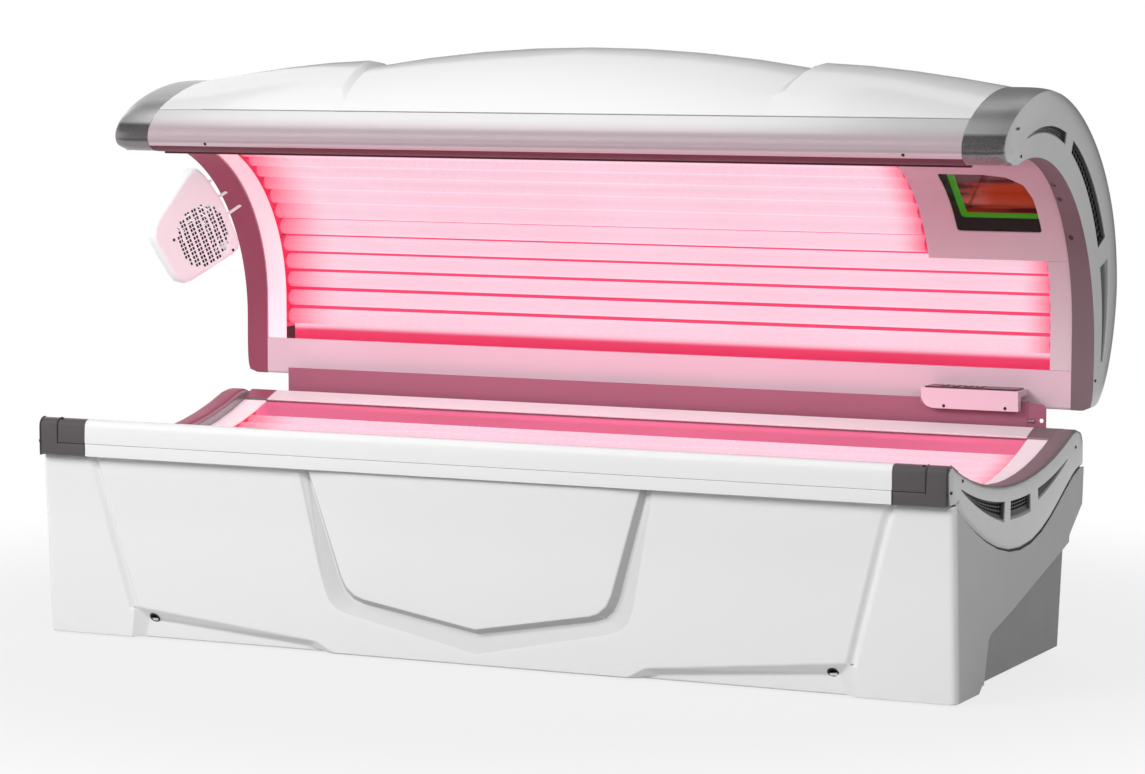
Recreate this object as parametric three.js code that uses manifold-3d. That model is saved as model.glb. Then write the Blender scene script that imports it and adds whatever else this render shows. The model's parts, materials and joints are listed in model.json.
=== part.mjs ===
// Clamshell tanning bed: a bench and a hinged canopy, each with its own bank of lamps.
// Millimetres, +X towards the head end, +Y towards the hinge side, +Z up, standing on Z = 0.
import * as THREE from "three";
import { mergeVertices } from "three/addons/utils/BufferGeometryUtils.js";
import Module from "manifold-3d";

const wasm = await Module();
wasm.setup();

// General sizes
const BED_LENGTH = 2200;
const BENCH_DEPTH = 864;
const SEAT = 0.3; // gap between pieces that touch
const CURVE_STEPS = 6; // straight steps in each curved stretch of an outline
const SECTION_STEPS = 8; // the same in the canopy's outer section
const ARC_STEP = 3.4; // degrees, fine enough for nested sheets to stay apart

// Front panel, a leaning moulding with a raised shield, two grooves and two toe recesses
const PANEL_TOP = 418;
const PANEL_LEAN = 26;
const PANEL_WALL = 5;
const PANEL_FLOOR_GAP = 5;
const PANEL_CORNER = 14;
const PANEL_RETURN = 16;
const PANEL_FLANGE_INSET = 24;
const PANEL_FLANGE_DEPTH = 46;
const SHIELD_HALF_TOP = 431;
const SHIELD_HALF_FOOT = 366;
const SHIELD_CORNER_HEIGHT = 106;
const SHIELD_POINT_HEIGHT = 29;
const SHIELD_CORNER_CUT = 46;
const SHIELD_BORDER_TOP = 17;
const SHIELD_BORDER_SIDE = 40;
const SHIELD_BORDER_FOOT = 44;
const SHIELD_SINK = 14;
const SHIELD_PROUD = 6;
const SHIELD_CROWN = 4;
const SHIELD_DRAFT = 12;
const GROOVE_TOP_INSET = 135; // insets are counted from the bed's ends
const GROOVE_FOOT_INSET = 230;
const GROOVE_FOOT_HEIGHT = 72;
const GROOVE_WIDTH = 26;
const GROOVE_FLOOR = 5;
const GROOVE_DEPTH = 8;
const TOE_INNER = 345;
const TOE_OUTER_INSET = 218;
const TOE_HEIGHT_OUTER = 77;
const TOE_HEIGHT_INNER = 30;
const TOE_RISE = 55;
const TOE_DEPTH = 16;
const TOE_SLOPE = 28;
const PANEL_HOLE_INSET = 275;
const PANEL_HOLE_HEIGHT = 52;
const PANEL_HOLE_RADIUS = 10;

// Front rail, its trim strip, and the corner caps with their plugs
const RAIL_PROUD = 20;
const RAIL_WIDTH = 62;
const TRIM_HEIGHT = 29;
const TRIM_DEPTH = 32;
const RAIL_HEIGHT = 55;
const RAIL_SHOULDER = 22;
const RAIL_WALL = 4;
const CORNER_CAP_LENGTH = 128;
const RAIL_PLUG_LENGTH = 72;

// Lying surface: the end covers' top edge is one arc, the acrylic sheet lies a little below it
const LIE_SAG = 80.07; // how far the arc hangs below the rails
const LIE_OFFSET = 20; // the arc's lowest point stands this far in front of the bench's middle
const ACRYLIC_SINK = 24;
const ACRYLIC_WALL = 4;
const STRIP_WALL = 3;
const STRIP_WIDTH = 63;
const END_BAND = 54;

// Rear rail and hinge shroud
const REAR_RAIL_WIDTH = 49;
const REAR_RAIL_RISE = 17;
const REAR_RAIL_WALL = 4;
const REAR_RAIL_SKIRT = 36;
const REAR_RAIL_LEG = 20;
const REAR_RAIL_END_GAP = 65;
const SHROUD_OFFSET = 20;
const SHROUD_WALL = 3;
const SHROUD_INSET = 140;
const SHROUD_HEIGHT = 63;
const SHROUD_FLANGE_DROP = 8;
const BRACKET_EAR_LENGTH = 43;
const BRACKET_EAR_HEIGHT = 50;
const BRACKET_EAR_ROUND = 14;
const BRACKET_HOLE_RADIUS = 5;
const BRACKET_HOLE_INSET = 11;

// End panels and end covers
const END_WALL = 5;
const END_RECESS = 14;
const END_RECESS_DRAFT = 9;
const END_FOOT_LENGTH = 124;
const END_NOTCH_HEIGHT = 19;
const REAR_SHELF_LOW = 264;
const REAR_SHELF_HIGH = 324;
const REAR_SHELF_DEPTH = 90;
const REAR_SKIRT_LEAN = 35;
const REAR_LEAN = 8;
const COVER_REAR_HEIGHT = 408;
const COVER_DIP_HEIGHT = 275;
const COVER_DIP_OFFSET = 2;
const COVER_WALL = 6;
const COVER_FACE = 8;
const COVER_ROUND = 12;

// Vent slots in the end covers, measured down from the top arc, angles from straight down
const VENT_DROP = 34;
const COVER_VENTS = [
  { from: -19, to: -4.7, tallFrom: 3, tallTo: 44 },
  { from: -2.8, to: 3.8, tallFrom: 40, tallTo: 40 },
  { from: 6.4, to: 17, tallFrom: 26, tallTo: 3 },
];

// Rear panel
const REAR_PANEL_WALL = 3;
const REAR_VENT_COUNT = 7;
const REAR_VENT_LENGTH = 200;
const REAR_VENT_HEIGHT = 9;
const REAR_VENT_PITCH = 24;

// Chassis of sheet end frames and steel angles
const FOOT_HEIGHT = 24;
const FOOT_RADIUS = 26;
const FOOT_STEM_RADIUS = 9;
const FOOT_PAD = 8;
const FOOT_INSET = 150;
const FRAME_PLATE = 6;
const FRAME_FRONT = 70;
const FRAME_REAR_MARGIN = 164;
const BEAM_MARGIN = 26;
const BEAM_SIZE = 38;
const ANGLE_SIZE = 40;
const ANGLE_WALL = 4;
const FRAME_RIM = 48;
const FRAME_BRACE = 62; // slope that carries the rear beam
const RIB_DEPTH = 45; // from the reflector's lowest point down to the frame

// Lamps
const LAMP_RADIUS = 19;
const LAMP_WALL = 1.3;
const LAMP_PITCH = 46.3; // in the canopy
const LAMP_BANK_MARGIN = 16.1; // between the rails and the bench lamps
const LAMP_GAP = 8; // between the lamps and the acrylic, and between the lamps and the reflector
const LAMP_SIDES = 8;
const BENCH_LAMPS = 16;
const CANOPY_LONG_LAMPS = 5;
const CANOPY_SHORT_LAMPS = 11;
const LAMP_PLATE_INSET = 100; // from the bed's end to the outer lamp plates
const REFLECTOR_WALL = 2;
const REFLECTOR_TUCK = 10; // how far the canopy reflector reaches down behind the lower rail

// Ballasts and cooling fan in the bench
const TRAY_WALL = 3;
const TRAY_FAN_GAP = 147;
const BALLAST_LENGTH = 220;
const BALLAST_WIDTH = 70;
const BALLAST_HEIGHT = 45;
const BALLAST_COLUMNS = 4;
const BALLAST_ROWS = 3;
const COOLER_SIZE = 230;
const COOLER_DEPTH = 30;
const COOLER_BORE = 104;
const COOLER_TIP_GAP = 5;
const COOLER_INSET = 540;

// Fans share one shaft and blade form
const SHAFT_RADIUS = 5;
const FAN_BLADES = 7;
const BLADE_WALL = 2;
const BLADE_PITCH = 34;

// Hinge
const HINGE_BEHIND = 42; // hinge axis behind the bench's rear edge
const HINGE_ABOVE = 13; // and above the rear rail
const HINGE_INSET = 200;
const HINGE_PIN_RADIUS = 8;
const HINGE_HEAD_RADIUS = 12;
const HINGE_HEAD = 5;
const HINGE_EYE = 17;
const FORK_HALF = 50;
const FORK_PLATE = 6;
const ARM_THICKNESS = 12;
const ARM_WIDTH = 41;
const SPRING_WIRE = 5;
const SPRING_TURNS = 5;
const SPRING_PITCH = 5.7;
const SPRING_STEPS = 8; // straight steps in each curl
const SPRING_LEG = 9;

// Canopy section: one arc over a straight skirt, with a rounded nose in front
const SHEET_RADIUS = 397;
const SHEET_BEHIND = 66; // the skirt's inner face behind the bench's rear edge
const SKIRT_ABOVE_HINGE = 22;
const LOWER_RAIL_HEIGHT = 88;
const LOWER_RAIL_WALL = 4;
const LOWER_RAIL_FLANGE = 14;
const SKIRT_HEIGHT = 187; // from the canopy's bottom edge up to the arc's centre
const SHEET_END_ANGLE = 102;
const NOSE_REACH = 229;
const NOSE_LIP = 12;
const NOSE_CHIN = 48;
const NOSE_BROW = 58;
const ROOF_RISE = 151;
const ROOF_FORWARD = 77;
const REAR_BULGE = 195;
const REAR_TUCK = 153;
const SHELL_WALL = 5;

// Canopy shell's crown along its length: a centre dome between two raised wings
const DOME_HEIGHT = 82;
const DOME_EDGE_HEIGHT = 35;
const WING_HEIGHT = 49;
const DOME_HALF_LENGTH = 515;
const WING_STEP = 20;
const WING_SLANT = 150; // how far the step runs outwards from the front seam to the rear
const CROWN_END = 0.62; // share of the section, from the seam, that the crown covers

// Canopy end caps
const CAP_LENGTH = 100;
const CAP_WALL = 5;
const CAP_FACE = 6;
const CAP_ROUND = 26;
const LIP_BACK = 50;
const LIP_DOWN = 44;
const LIP_GROWTH = 46;
const LIP_SKIRT_PROUD = 11;
const CAP_VENT_OFFSET = 54;
const CAP_VENTS = [
  { from: 102, to: 68.5, tallFrom: 2, tallTo: 28 },
  { from: 62.5, to: 23.5, tallFrom: 32, tallTo: 57 },
  { from: 17.5, to: -10, tallFrom: 58, tallTo: 14 },
];

// Face unit in the canopy's head end
const FACE_PANEL_INSET = 388;
const FACE_START_ANGLE = 22;
const FACE_INSET = 208;
const FACE_ANGLE = 46.5;
const FACE_HALF_LENGTH = 100;
const FACE_HALF_HEIGHT = 98;
const FACE_CORNER = 96; // the corner towards the nose and the head end
const FACE_SMALL_CORNER = 8;
const COLLAR_WALL = 10;
const COLLAR_DEPTH = 43;
const COLLAR_LEDGE = 10;
const FILTER_WALL = 6;
const FACE_TRAY_DEPTH = 76;
const FACE_TRAY_WALL = 3;
const FACE_LAMPS = 3;
const FACE_LAMP_RADIUS = 12;

// Control unit on the canopy's lower rail
const CONTROL_INSET = 272;
const CONTROL_LENGTH = 233;
const CONTROL_REACH = 68;
const CONTROL_LIP = 20;
const CONTROL_HEIGHT = 46;
const CONTROL_TOP_BLOCK = 15;
const CONTROL_CORNER = 34;
const CONTROL_TOP_ABOVE_HINGE = 66;
const PLATE_MARGIN = 7;
const PLATE_WALL = 3;
const BUTTON_NAMES = ["start_button", "stop_button", "fan_button", "face_button"];
const BUTTON_LENGTH = 16;
const BUTTON_WIDTH = 22;
const BUTTON_PITCH = 28;
const BUTTON_PROUD = 1.6;
const BUTTON_SINK = 4;
const BUTTON_POCKET = 7;
const BUTTON_FIRST = 40; // first button's middle from the plate's left end

// Body fan hanging on three studs in the foot end's cap
const FAN_TURN = 23.5;
const FAN_INSET = 25;
const FAN_ARC_ANGLE = 36.62;
const FAN_SHEET_GAP = 76.8; // from the sheet to the fan's own origin
const FAN_SPAN = 230;
const FAN_DEPTH = 34;
const FAN_WALL = 3;
const FAN_ROUND = 9;
const FAN_GRILLE_Y = -73;
const FAN_GRILLE_Z = -26;
const FAN_GRILLE_RADIUS = 82;
const FAN_GRILLE_WALL = 3;
const FAN_GRILLE_TILT = 24;
const FAN_SLOT_COLUMNS = 7;
const FAN_SLOT_WIDTH = 9;
const FAN_SLOT_LENGTH = 22;
const FAN_SLOT_PITCH = 21;
const FAN_SLOT_RIB = 4;
const FAN_ROTOR_RADIUS = 72;
const FAN_STUD_RADIUS = 4;
const FAN_STUD_LENGTH = 80;
const FAN_STUDS = [[-0.226, 0.435], [-0.113, 0.261], [-0.009, 0.07]]; // shares of the span, as the corners
const FAN_CORNERS = [
  { y: -0.4, z: 0.687, round: 0.2 },
  { y: -0.043, z: 0.252, round: 0.13 },
  { y: 0.209, z: -0.27, round: 0.13 },
  { y: -0.6, z: -0.661, round: 0.174 },
  { y: -1, z: -0.052, round: 0.174 },
];

// Derived places
const HALF = BED_LENGTH / 2;
const GROOVE_TOP = HALF - GROOVE_TOP_INSET;
const GROOVE_FOOT = HALF - GROOVE_FOOT_INSET;
const TOE_OUTER = HALF - TOE_OUTER_INSET;
const PANEL_HOLE_X = HALF - PANEL_HOLE_INSET;
const SHROUD_HALF_LENGTH = HALF - SHROUD_INSET;
const COOLER_X = HALF - COOLER_INSET;
const HINGE_X = HALF - HINGE_INSET;
const FACE_PANEL_X = HALF - FACE_PANEL_INSET;
const FACE_X = HALF - FACE_INSET;
const CONTROL_X = HALF - CONTROL_INSET;
const RAIL_TOP = PANEL_TOP + TRIM_HEIGHT + RAIL_HEIGHT;
const RAIL_BACK = RAIL_WIDTH - RAIL_PROUD;
const LIE_MIDDLE = BENCH_DEPTH / 2 - LIE_OFFSET;
const LIE_RADIUS = (LIE_MIDDLE ** 2 + LIE_SAG ** 2) / (2 * LIE_SAG);
const LIE_Z = RAIL_TOP + LIE_RADIUS - LIE_SAG;
const ACRYLIC_RADIUS = LIE_RADIUS + ACRYLIC_SINK;
const BENCH_LAMP_RADIUS = ACRYLIC_RADIUS + ACRYLIC_WALL + LAMP_GAP + LAMP_RADIUS;
const BENCH_REFLECTOR_RADIUS = BENCH_LAMP_RADIUS + LAMP_RADIUS + LAMP_GAP;
const CHASSIS_TOP = LIE_Z - BENCH_REFLECTOR_RADIUS - REFLECTOR_WALL - RIB_DEPTH;
const REAR_RAIL_FRONT = BENCH_DEPTH - REAR_RAIL_WIDTH;
const REAR_RAIL_LOW = lieHeight(REAR_RAIL_FRONT, ACRYLIC_RADIUS);
const REAR_RAIL_HIGH = REAR_RAIL_LOW + REAR_RAIL_RISE;
const BENCH_LAMP_PITCH = (REAR_RAIL_FRONT - RAIL_BACK - 2 * LAMP_BANK_MARGIN) / BENCH_LAMPS;
const BEAM_TOP = REAR_RAIL_LOW - REAR_RAIL_LEG;
const BEAM_REAR = BENCH_DEPTH - BEAM_MARGIN;
const FRAME_REAR = BENCH_DEPTH - FRAME_REAR_MARGIN;
const LAMP_PLATE_X = HALF - LAMP_PLATE_INSET;
const ACRYLIC_HALF = HALF - END_BAND - SEAT;
const HINGE_Y = BENCH_DEPTH + HINGE_BEHIND;
const HINGE_Z = REAR_RAIL_HIGH + HINGE_ABOVE;
const SHEET_REAR = BENCH_DEPTH + SHEET_BEHIND;
const SKIRT_Z = HINGE_Z + SKIRT_ABOVE_HINGE;
const LOWER_RAIL_TOP = SKIRT_Z + LOWER_RAIL_HEIGHT;
const ARC_Y = SHEET_REAR - SHEET_RADIUS;
const ARC_Z = SKIRT_Z + SKIRT_HEIGHT;
const SHEET_TOP = ARC_Z + SHEET_RADIUS;
const NOSE_Y = ARC_Y - NOSE_REACH;
const NOSE_UNDER = SHEET_TOP - NOSE_LIP;
const ROOF_Z = SHEET_TOP + ROOF_RISE;
const REAR_Y = SHEET_REAR + REAR_BULGE;
const CAP_INNER_X = HALF - CAP_LENGTH;
const CANOPY_LAMP_RADIUS = SHEET_RADIUS + ACRYLIC_WALL + LAMP_GAP + LAMP_RADIUS;
const CANOPY_REFLECTOR_RADIUS = CANOPY_LAMP_RADIUS + LAMP_RADIUS + LAMP_GAP;
const LINER_RADIUS = SHEET_RADIUS + ACRYLIC_WALL + SEAT;
const BACKING_RADIUS = LINER_RADIUS + STRIP_WALL + SEAT;

// Finishes
const FINISHES = {
  gloss_white: { color: 0xf1f1f2, roughness: 0.2, metalness: 0 },
  silver_grey: { color: 0x9a9a9c, roughness: 0.35, metalness: 0.5 },
  dark_grey: { color: 0x5f5b5c, roughness: 0.4, metalness: 0.2 },
  panel_grey: { color: 0x8c8c8e, roughness: 0.45, metalness: 0.1 },
  shroud_grey: { color: 0x8f8288, roughness: 0.5, metalness: 0 },
  matt_white: { color: 0xece6e8, roughness: 0.5, metalness: 0 },
  acrylic: { color: 0xf6eef1, roughness: 0.05, metalness: 0 },
  lamp_glass: { color: 0xffd7e4, roughness: 0.3, metalness: 0 },
  reflector: { color: 0xd9d5d6, roughness: 0.15, metalness: 1 },
  steel: { color: 0x8a8d90, roughness: 0.45, metalness: 0.9 },
  zinc: { color: 0xb4b7ba, roughness: 0.4, metalness: 0.9 },
  black_plastic: { color: 0x17171a, roughness: 0.4, metalness: 0 },
  rubber: { color: 0x222224, roughness: 0.8, metalness: 0 },
  amber_glass: { color: 0xa8431c, roughness: 0.08, metalness: 0 },
  smoked_plate: { color: 0x4a1c2c, roughness: 0.15, metalness: 0 },
};

const bench = new THREE.Group();
const canopy = new THREE.Group();

function addPiece(group, name, finish, geometry) {
  const mesh = new THREE.Mesh(geometry, new THREE.MeshStandardMaterial(FINISHES[finish]));
  mesh.name = name;
  group.add(mesh);
}

// The same piece on both ends of the bed, modelled for the head end and mirrored for the foot end
function addPair(group, name, finish, geometry) {
  addPiece(group, `right_${name}`, finish, geometry);
  addPiece(group, `left_${name}`, finish, mirrored(geometry));
}

function lieHeight(y, radius) {
  return LIE_Z - Math.sqrt(radius ** 2 - (y - LIE_MIDDLE) ** 2);
}

// Geometry helpers
function weld(geometry) {
  geometry.deleteAttribute("normal");
  geometry.deleteAttribute("uv");
  return mergeVertices(geometry, 1e-4);
}

function mirrored(geometry) {
  const copy = geometry.clone().scale(-1, 1, 1);
  const index = copy.index.array;
  for (let i = 0; i < index.length; i += 3) {
    [index[i + 1], index[i + 2]] = [index[i + 2], index[i + 1]];
  }
  return copy;
}

function placed(geometry, matrix) {
  return geometry.clone().applyMatrix4(matrix);
}

function toSolid(geometry) {
  const mesh = new wasm.Mesh({
    numProp: 3,
    vertProperties: new Float32Array(geometry.attributes.position.array),
    triVerts: new Uint32Array(geometry.index.array),
  });
  return new wasm.Manifold(mesh);
}

function fromSolid(solid) {
  const mesh = solid.getMesh();
  const geometry = new THREE.BufferGeometry();
  geometry.setAttribute("position", new THREE.BufferAttribute(mesh.vertProperties.slice(), 3));
  geometry.setIndex(new THREE.BufferAttribute(mesh.triVerts.slice(), 1));
  return geometry;
}

function cut(base, ...tools) {
  return fromSolid(tools.reduce((solid, tool) => solid.subtract(toSolid(tool)), toSolid(base)));
}

function join(...pieces) {
  return fromSolid(pieces.map(toSolid).reduce((whole, piece) => whole.add(piece)));
}

function common(first, second) {
  return fromSolid(toSolid(first).intersect(toSolid(second)));
}

// Outlines are lists of points: (y, z) for sections along X, (x, z) for faces along Y
function toShape(points) {
  return new THREE.Shape(points.map(([a, b]) => new THREE.Vector2(a, b)));
}

function toPoints(path, steps = CURVE_STEPS) {
  return path.getPoints(steps).map((p) => [p.x, p.y]);
}

function extrude(points, depth, bevel = { bevelEnabled: false }) {
  return new THREE.ExtrudeGeometry(toShape(points), { depth, ...bevel });
}

// Local (a, b, depth) turned to (Y, Z, X)
const ALONG_X = new THREE.Matrix4().makeBasis(
  new THREE.Vector3(0, 1, 0), new THREE.Vector3(0, 0, 1), new THREE.Vector3(1, 0, 0));

function alongX(points, from, to) {
  return weld(extrude(points, to - from).applyMatrix4(ALONG_X).translate(from, 0, 0));
}

// A section along X whose outer edge is rounded at both ends
function roundedAlongX(points, from, to, round) {
  const bevel = {
    bevelEnabled: true, bevelSize: round, bevelThickness: round, bevelOffset: -round, bevelSegments: 2,
  };
  const geometry = extrude(points, to - from - 2 * round, bevel);
  return weld(geometry.applyMatrix4(ALONG_X).translate(from + round, 0, 0));
}

function alongY(points, from, to) {
  return weld(extrude(points, to - from).rotateX(Math.PI / 2).translate(0, to, 0));
}

function alongZ(points, from, to) {
  return weld(extrude(points, to - from).translate(0, 0, from));
}

function box(x0, x1, y0, y1, z0, z1) {
  const geometry = new THREE.BoxGeometry(x1 - x0, y1 - y0, z1 - z0);
  return weld(geometry.translate((x0 + x1) / 2, (y0 + y1) / 2, (z0 + z1) / 2));
}

function circle(y, z, radius, sides) {
  return Array.from({ length: sides }, (_, i) => {
    const angle = (2 * Math.PI * i) / sides;
    return [y + radius * Math.cos(angle), z + radius * Math.sin(angle)];
  });
}

function arc(y, z, radius, from, to, steps = Math.ceil(Math.abs(to - from) / ARC_STEP)) {
  return Array.from({ length: steps + 1 }, (_, i) => {
    const angle = THREE.MathUtils.degToRad(from + ((to - from) * i) / steps);
    return [y + radius * Math.cos(angle), z + radius * Math.sin(angle)];
  });
}

// Moves an open line sideways, to the left of its direction
function offsetLine(points, distance) {
  return points.map(([y, z], i) => {
    const before = points[Math.max(i - 1, 0)];
    const after = points[Math.min(i + 1, points.length - 1)];
    const inward = direction(before, [y, z]) ?? direction([y, z], after);
    const onward = direction([y, z], after) ?? inward;
    const miter = 1 + inward[0] * onward[0] + inward[1] * onward[1];
    const side = [-(inward[1] + onward[1]) / miter, (inward[0] + onward[0]) / miter];
    return [y + distance * side[0], z + distance * side[1]];
  });
}

function direction([y0, z0], [y1, z1]) {
  const length = Math.hypot(y1 - y0, z1 - z0);
  return length > 0 ? [(y1 - y0) / length, (z1 - z0) / length] : null;
}

// A sheet of even thickness that follows a line
function sheetOutline(points, wall) {
  return [...points, ...offsetLine(points, wall).reverse()];
}

// A closed outline moved inwards, its points running anticlockwise
function inset(points, distance) {
  const count = points.length;
  const ring = [points[count - 1], ...points, points[0]];
  return offsetLine(ring, distance).slice(1, count + 1);
}

function roundedCorners(corners) {
  const path = new THREE.Path();
  corners.forEach((corner, i) => {
    const before = corners[(i + corners.length - 1) % corners.length];
    const after = corners[(i + 1) % corners.length];
    const start = towards(corner, before, corner.round);
    const end = towards(corner, after, corner.round);
    if (i === 0) {
      path.moveTo(...start);
    } else {
      path.lineTo(...start);
    }
    path.quadraticCurveTo(corner.y, corner.z, ...end);
  });
  return toPoints(path, CURVE_STEPS / 2);
}

function towards(from, to, distance) {
  const [dy, dz] = direction([from.y, from.z], [to.y, to.z]);
  return [from.y + dy * distance, from.z + dz * distance];
}

// Skin over rings of matching points; the end faces come as triangles of ring indices
function skin(rings, endFaces) {
  const count = rings[0].length;
  const last = (rings.length - 1) * count;
  const index = [];
  for (let r = 0; r < last; r += count) {
    for (let i = 0; i < count; i += 1) {
      const j = (i + 1) % count;
      index.push(r + i, r + j, r + count + j, r + i, r + count + j, r + count + i);
    }
  }
  for (const [a, b, c] of endFaces) {
    index.push(c, b, a, last + a, last + b, last + c);
  }
  const geometry = new THREE.BufferGeometry();
  geometry.setAttribute("position", new THREE.Float32BufferAttribute(rings.flat(2), 3));
  geometry.setIndex(index);
  return geometry;
}

function triangulate(points) {
  return THREE.ShapeUtils.triangulateShape(points.map(([a, b]) => new THREE.Vector2(a, b)), []);
}

// Loft along X through outlines that run anticlockwise
function loftX(sections) {
  const rings = sections.map(({ x, points }) => points.map(([y, z]) => [x, y, z]));
  return skin(rings, triangulate(sections[0].points));
}

// Loft along +Y through face outlines that run clockwise as seen from the front
function loftY(sections) {
  const rings = sections.map(({ y, points }) => points.map(([x, z]) => [x, y, z]));
  const faces = triangulate([...sections[0].points].reverse());
  const count = sections[0].points.length;
  return skin(rings, faces.map((face) => face.map((i) => count - 1 - i).reverse()));
}

// A round bar along a line of points
function sweep(points, radius, sides) {
  const curve = points.map((p) => new THREE.Vector3(...p));
  let side = null;
  const rings = curve.map((at, i) => {
    const before = curve[Math.max(i - 1, 0)];
    const after = curve[Math.min(i + 1, curve.length - 1)];
    const ahead = after.clone().sub(before).normalize();
    side ??= new THREE.Vector3(1, 0, 0).cross(ahead).normalize();
    side = side.clone().sub(ahead.clone().multiplyScalar(side.dot(ahead))).normalize();
    const up = ahead.clone().cross(side);
    return circle(0, 0, radius, sides).map(([a, b]) =>
      at.clone().addScaledVector(side, a).addScaledVector(up, b).toArray());
  });
  return skin(rings, triangulate(circle(0, 0, 1, sides)));
}

// A slot between an arc and a line that closes in on it, in a face across X
function taperedSlot(y, z, radius, turn, vent) {
  const steps = CURVE_STEPS;
  const inner = arc(y, z, radius, turn + vent.from, turn + vent.to, steps);
  const outer = inner.map(([py, pz], i) => {
    const tall = vent.tallFrom + ((vent.tallTo - vent.tallFrom) * i) / steps;
    const scale = (radius + tall) / radius;
    return [y + (py - y) * scale, z + (pz - z) * scale];
  });
  return [...inner, ...outer.reverse()];
}

// A fan wheel about local Z: hub, pitched blades and a shaft that reaches down
function fanWheel(radius, hub, depth, shaft) {
  const bore = weld(new THREE.CylinderGeometry(hub, hub, depth, 14).rotateX(Math.PI / 2));
  const axle = weld(new THREE.CylinderGeometry(SHAFT_RADIUS, SHAFT_RADIUS, shaft, 10).rotateX(Math.PI / 2));
  axle.translate(0, 0, -shaft / 2);
  const reach = radius - hub / 2;
  const chord = (depth - BLADE_WALL) / Math.sin(THREE.MathUtils.degToRad(BLADE_PITCH));
  const blades = Array.from({ length: FAN_BLADES }, (_, i) => {
    const blade = weld(new THREE.BoxGeometry(reach, chord * 0.9, BLADE_WALL));
    blade.rotateX(THREE.MathUtils.degToRad(BLADE_PITCH));
    blade.translate(hub / 2 + reach / 2, 0, 0);
    return blade.rotateZ((2 * Math.PI * i) / FAN_BLADES);
  });
  return join(bore, axle, ...blades);
}

// Front panel
function shieldOutline(top, halfTop, halfFoot, corner, point, cornerCut) {
  const path = new THREE.Path();
  const slant = direction([halfFoot, corner], [halfTop, top]);
  const fall = direction([halfFoot, corner], [0, point]);
  path.moveTo(halfTop, top);
  path.lineTo(halfFoot + slant[0] * cornerCut, corner + slant[1] * cornerCut);
  path.quadraticCurveTo(halfFoot, corner, halfFoot + fall[0] * cornerCut, corner + fall[1] * cornerCut);
  path.lineTo(0, point);
  const right = toPoints(path, CURVE_STEPS / 2);
  const left = right.slice(0, -1).reverse().map(([x, z]) => [-x, z]);
  return [...right, ...left];
}

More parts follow.
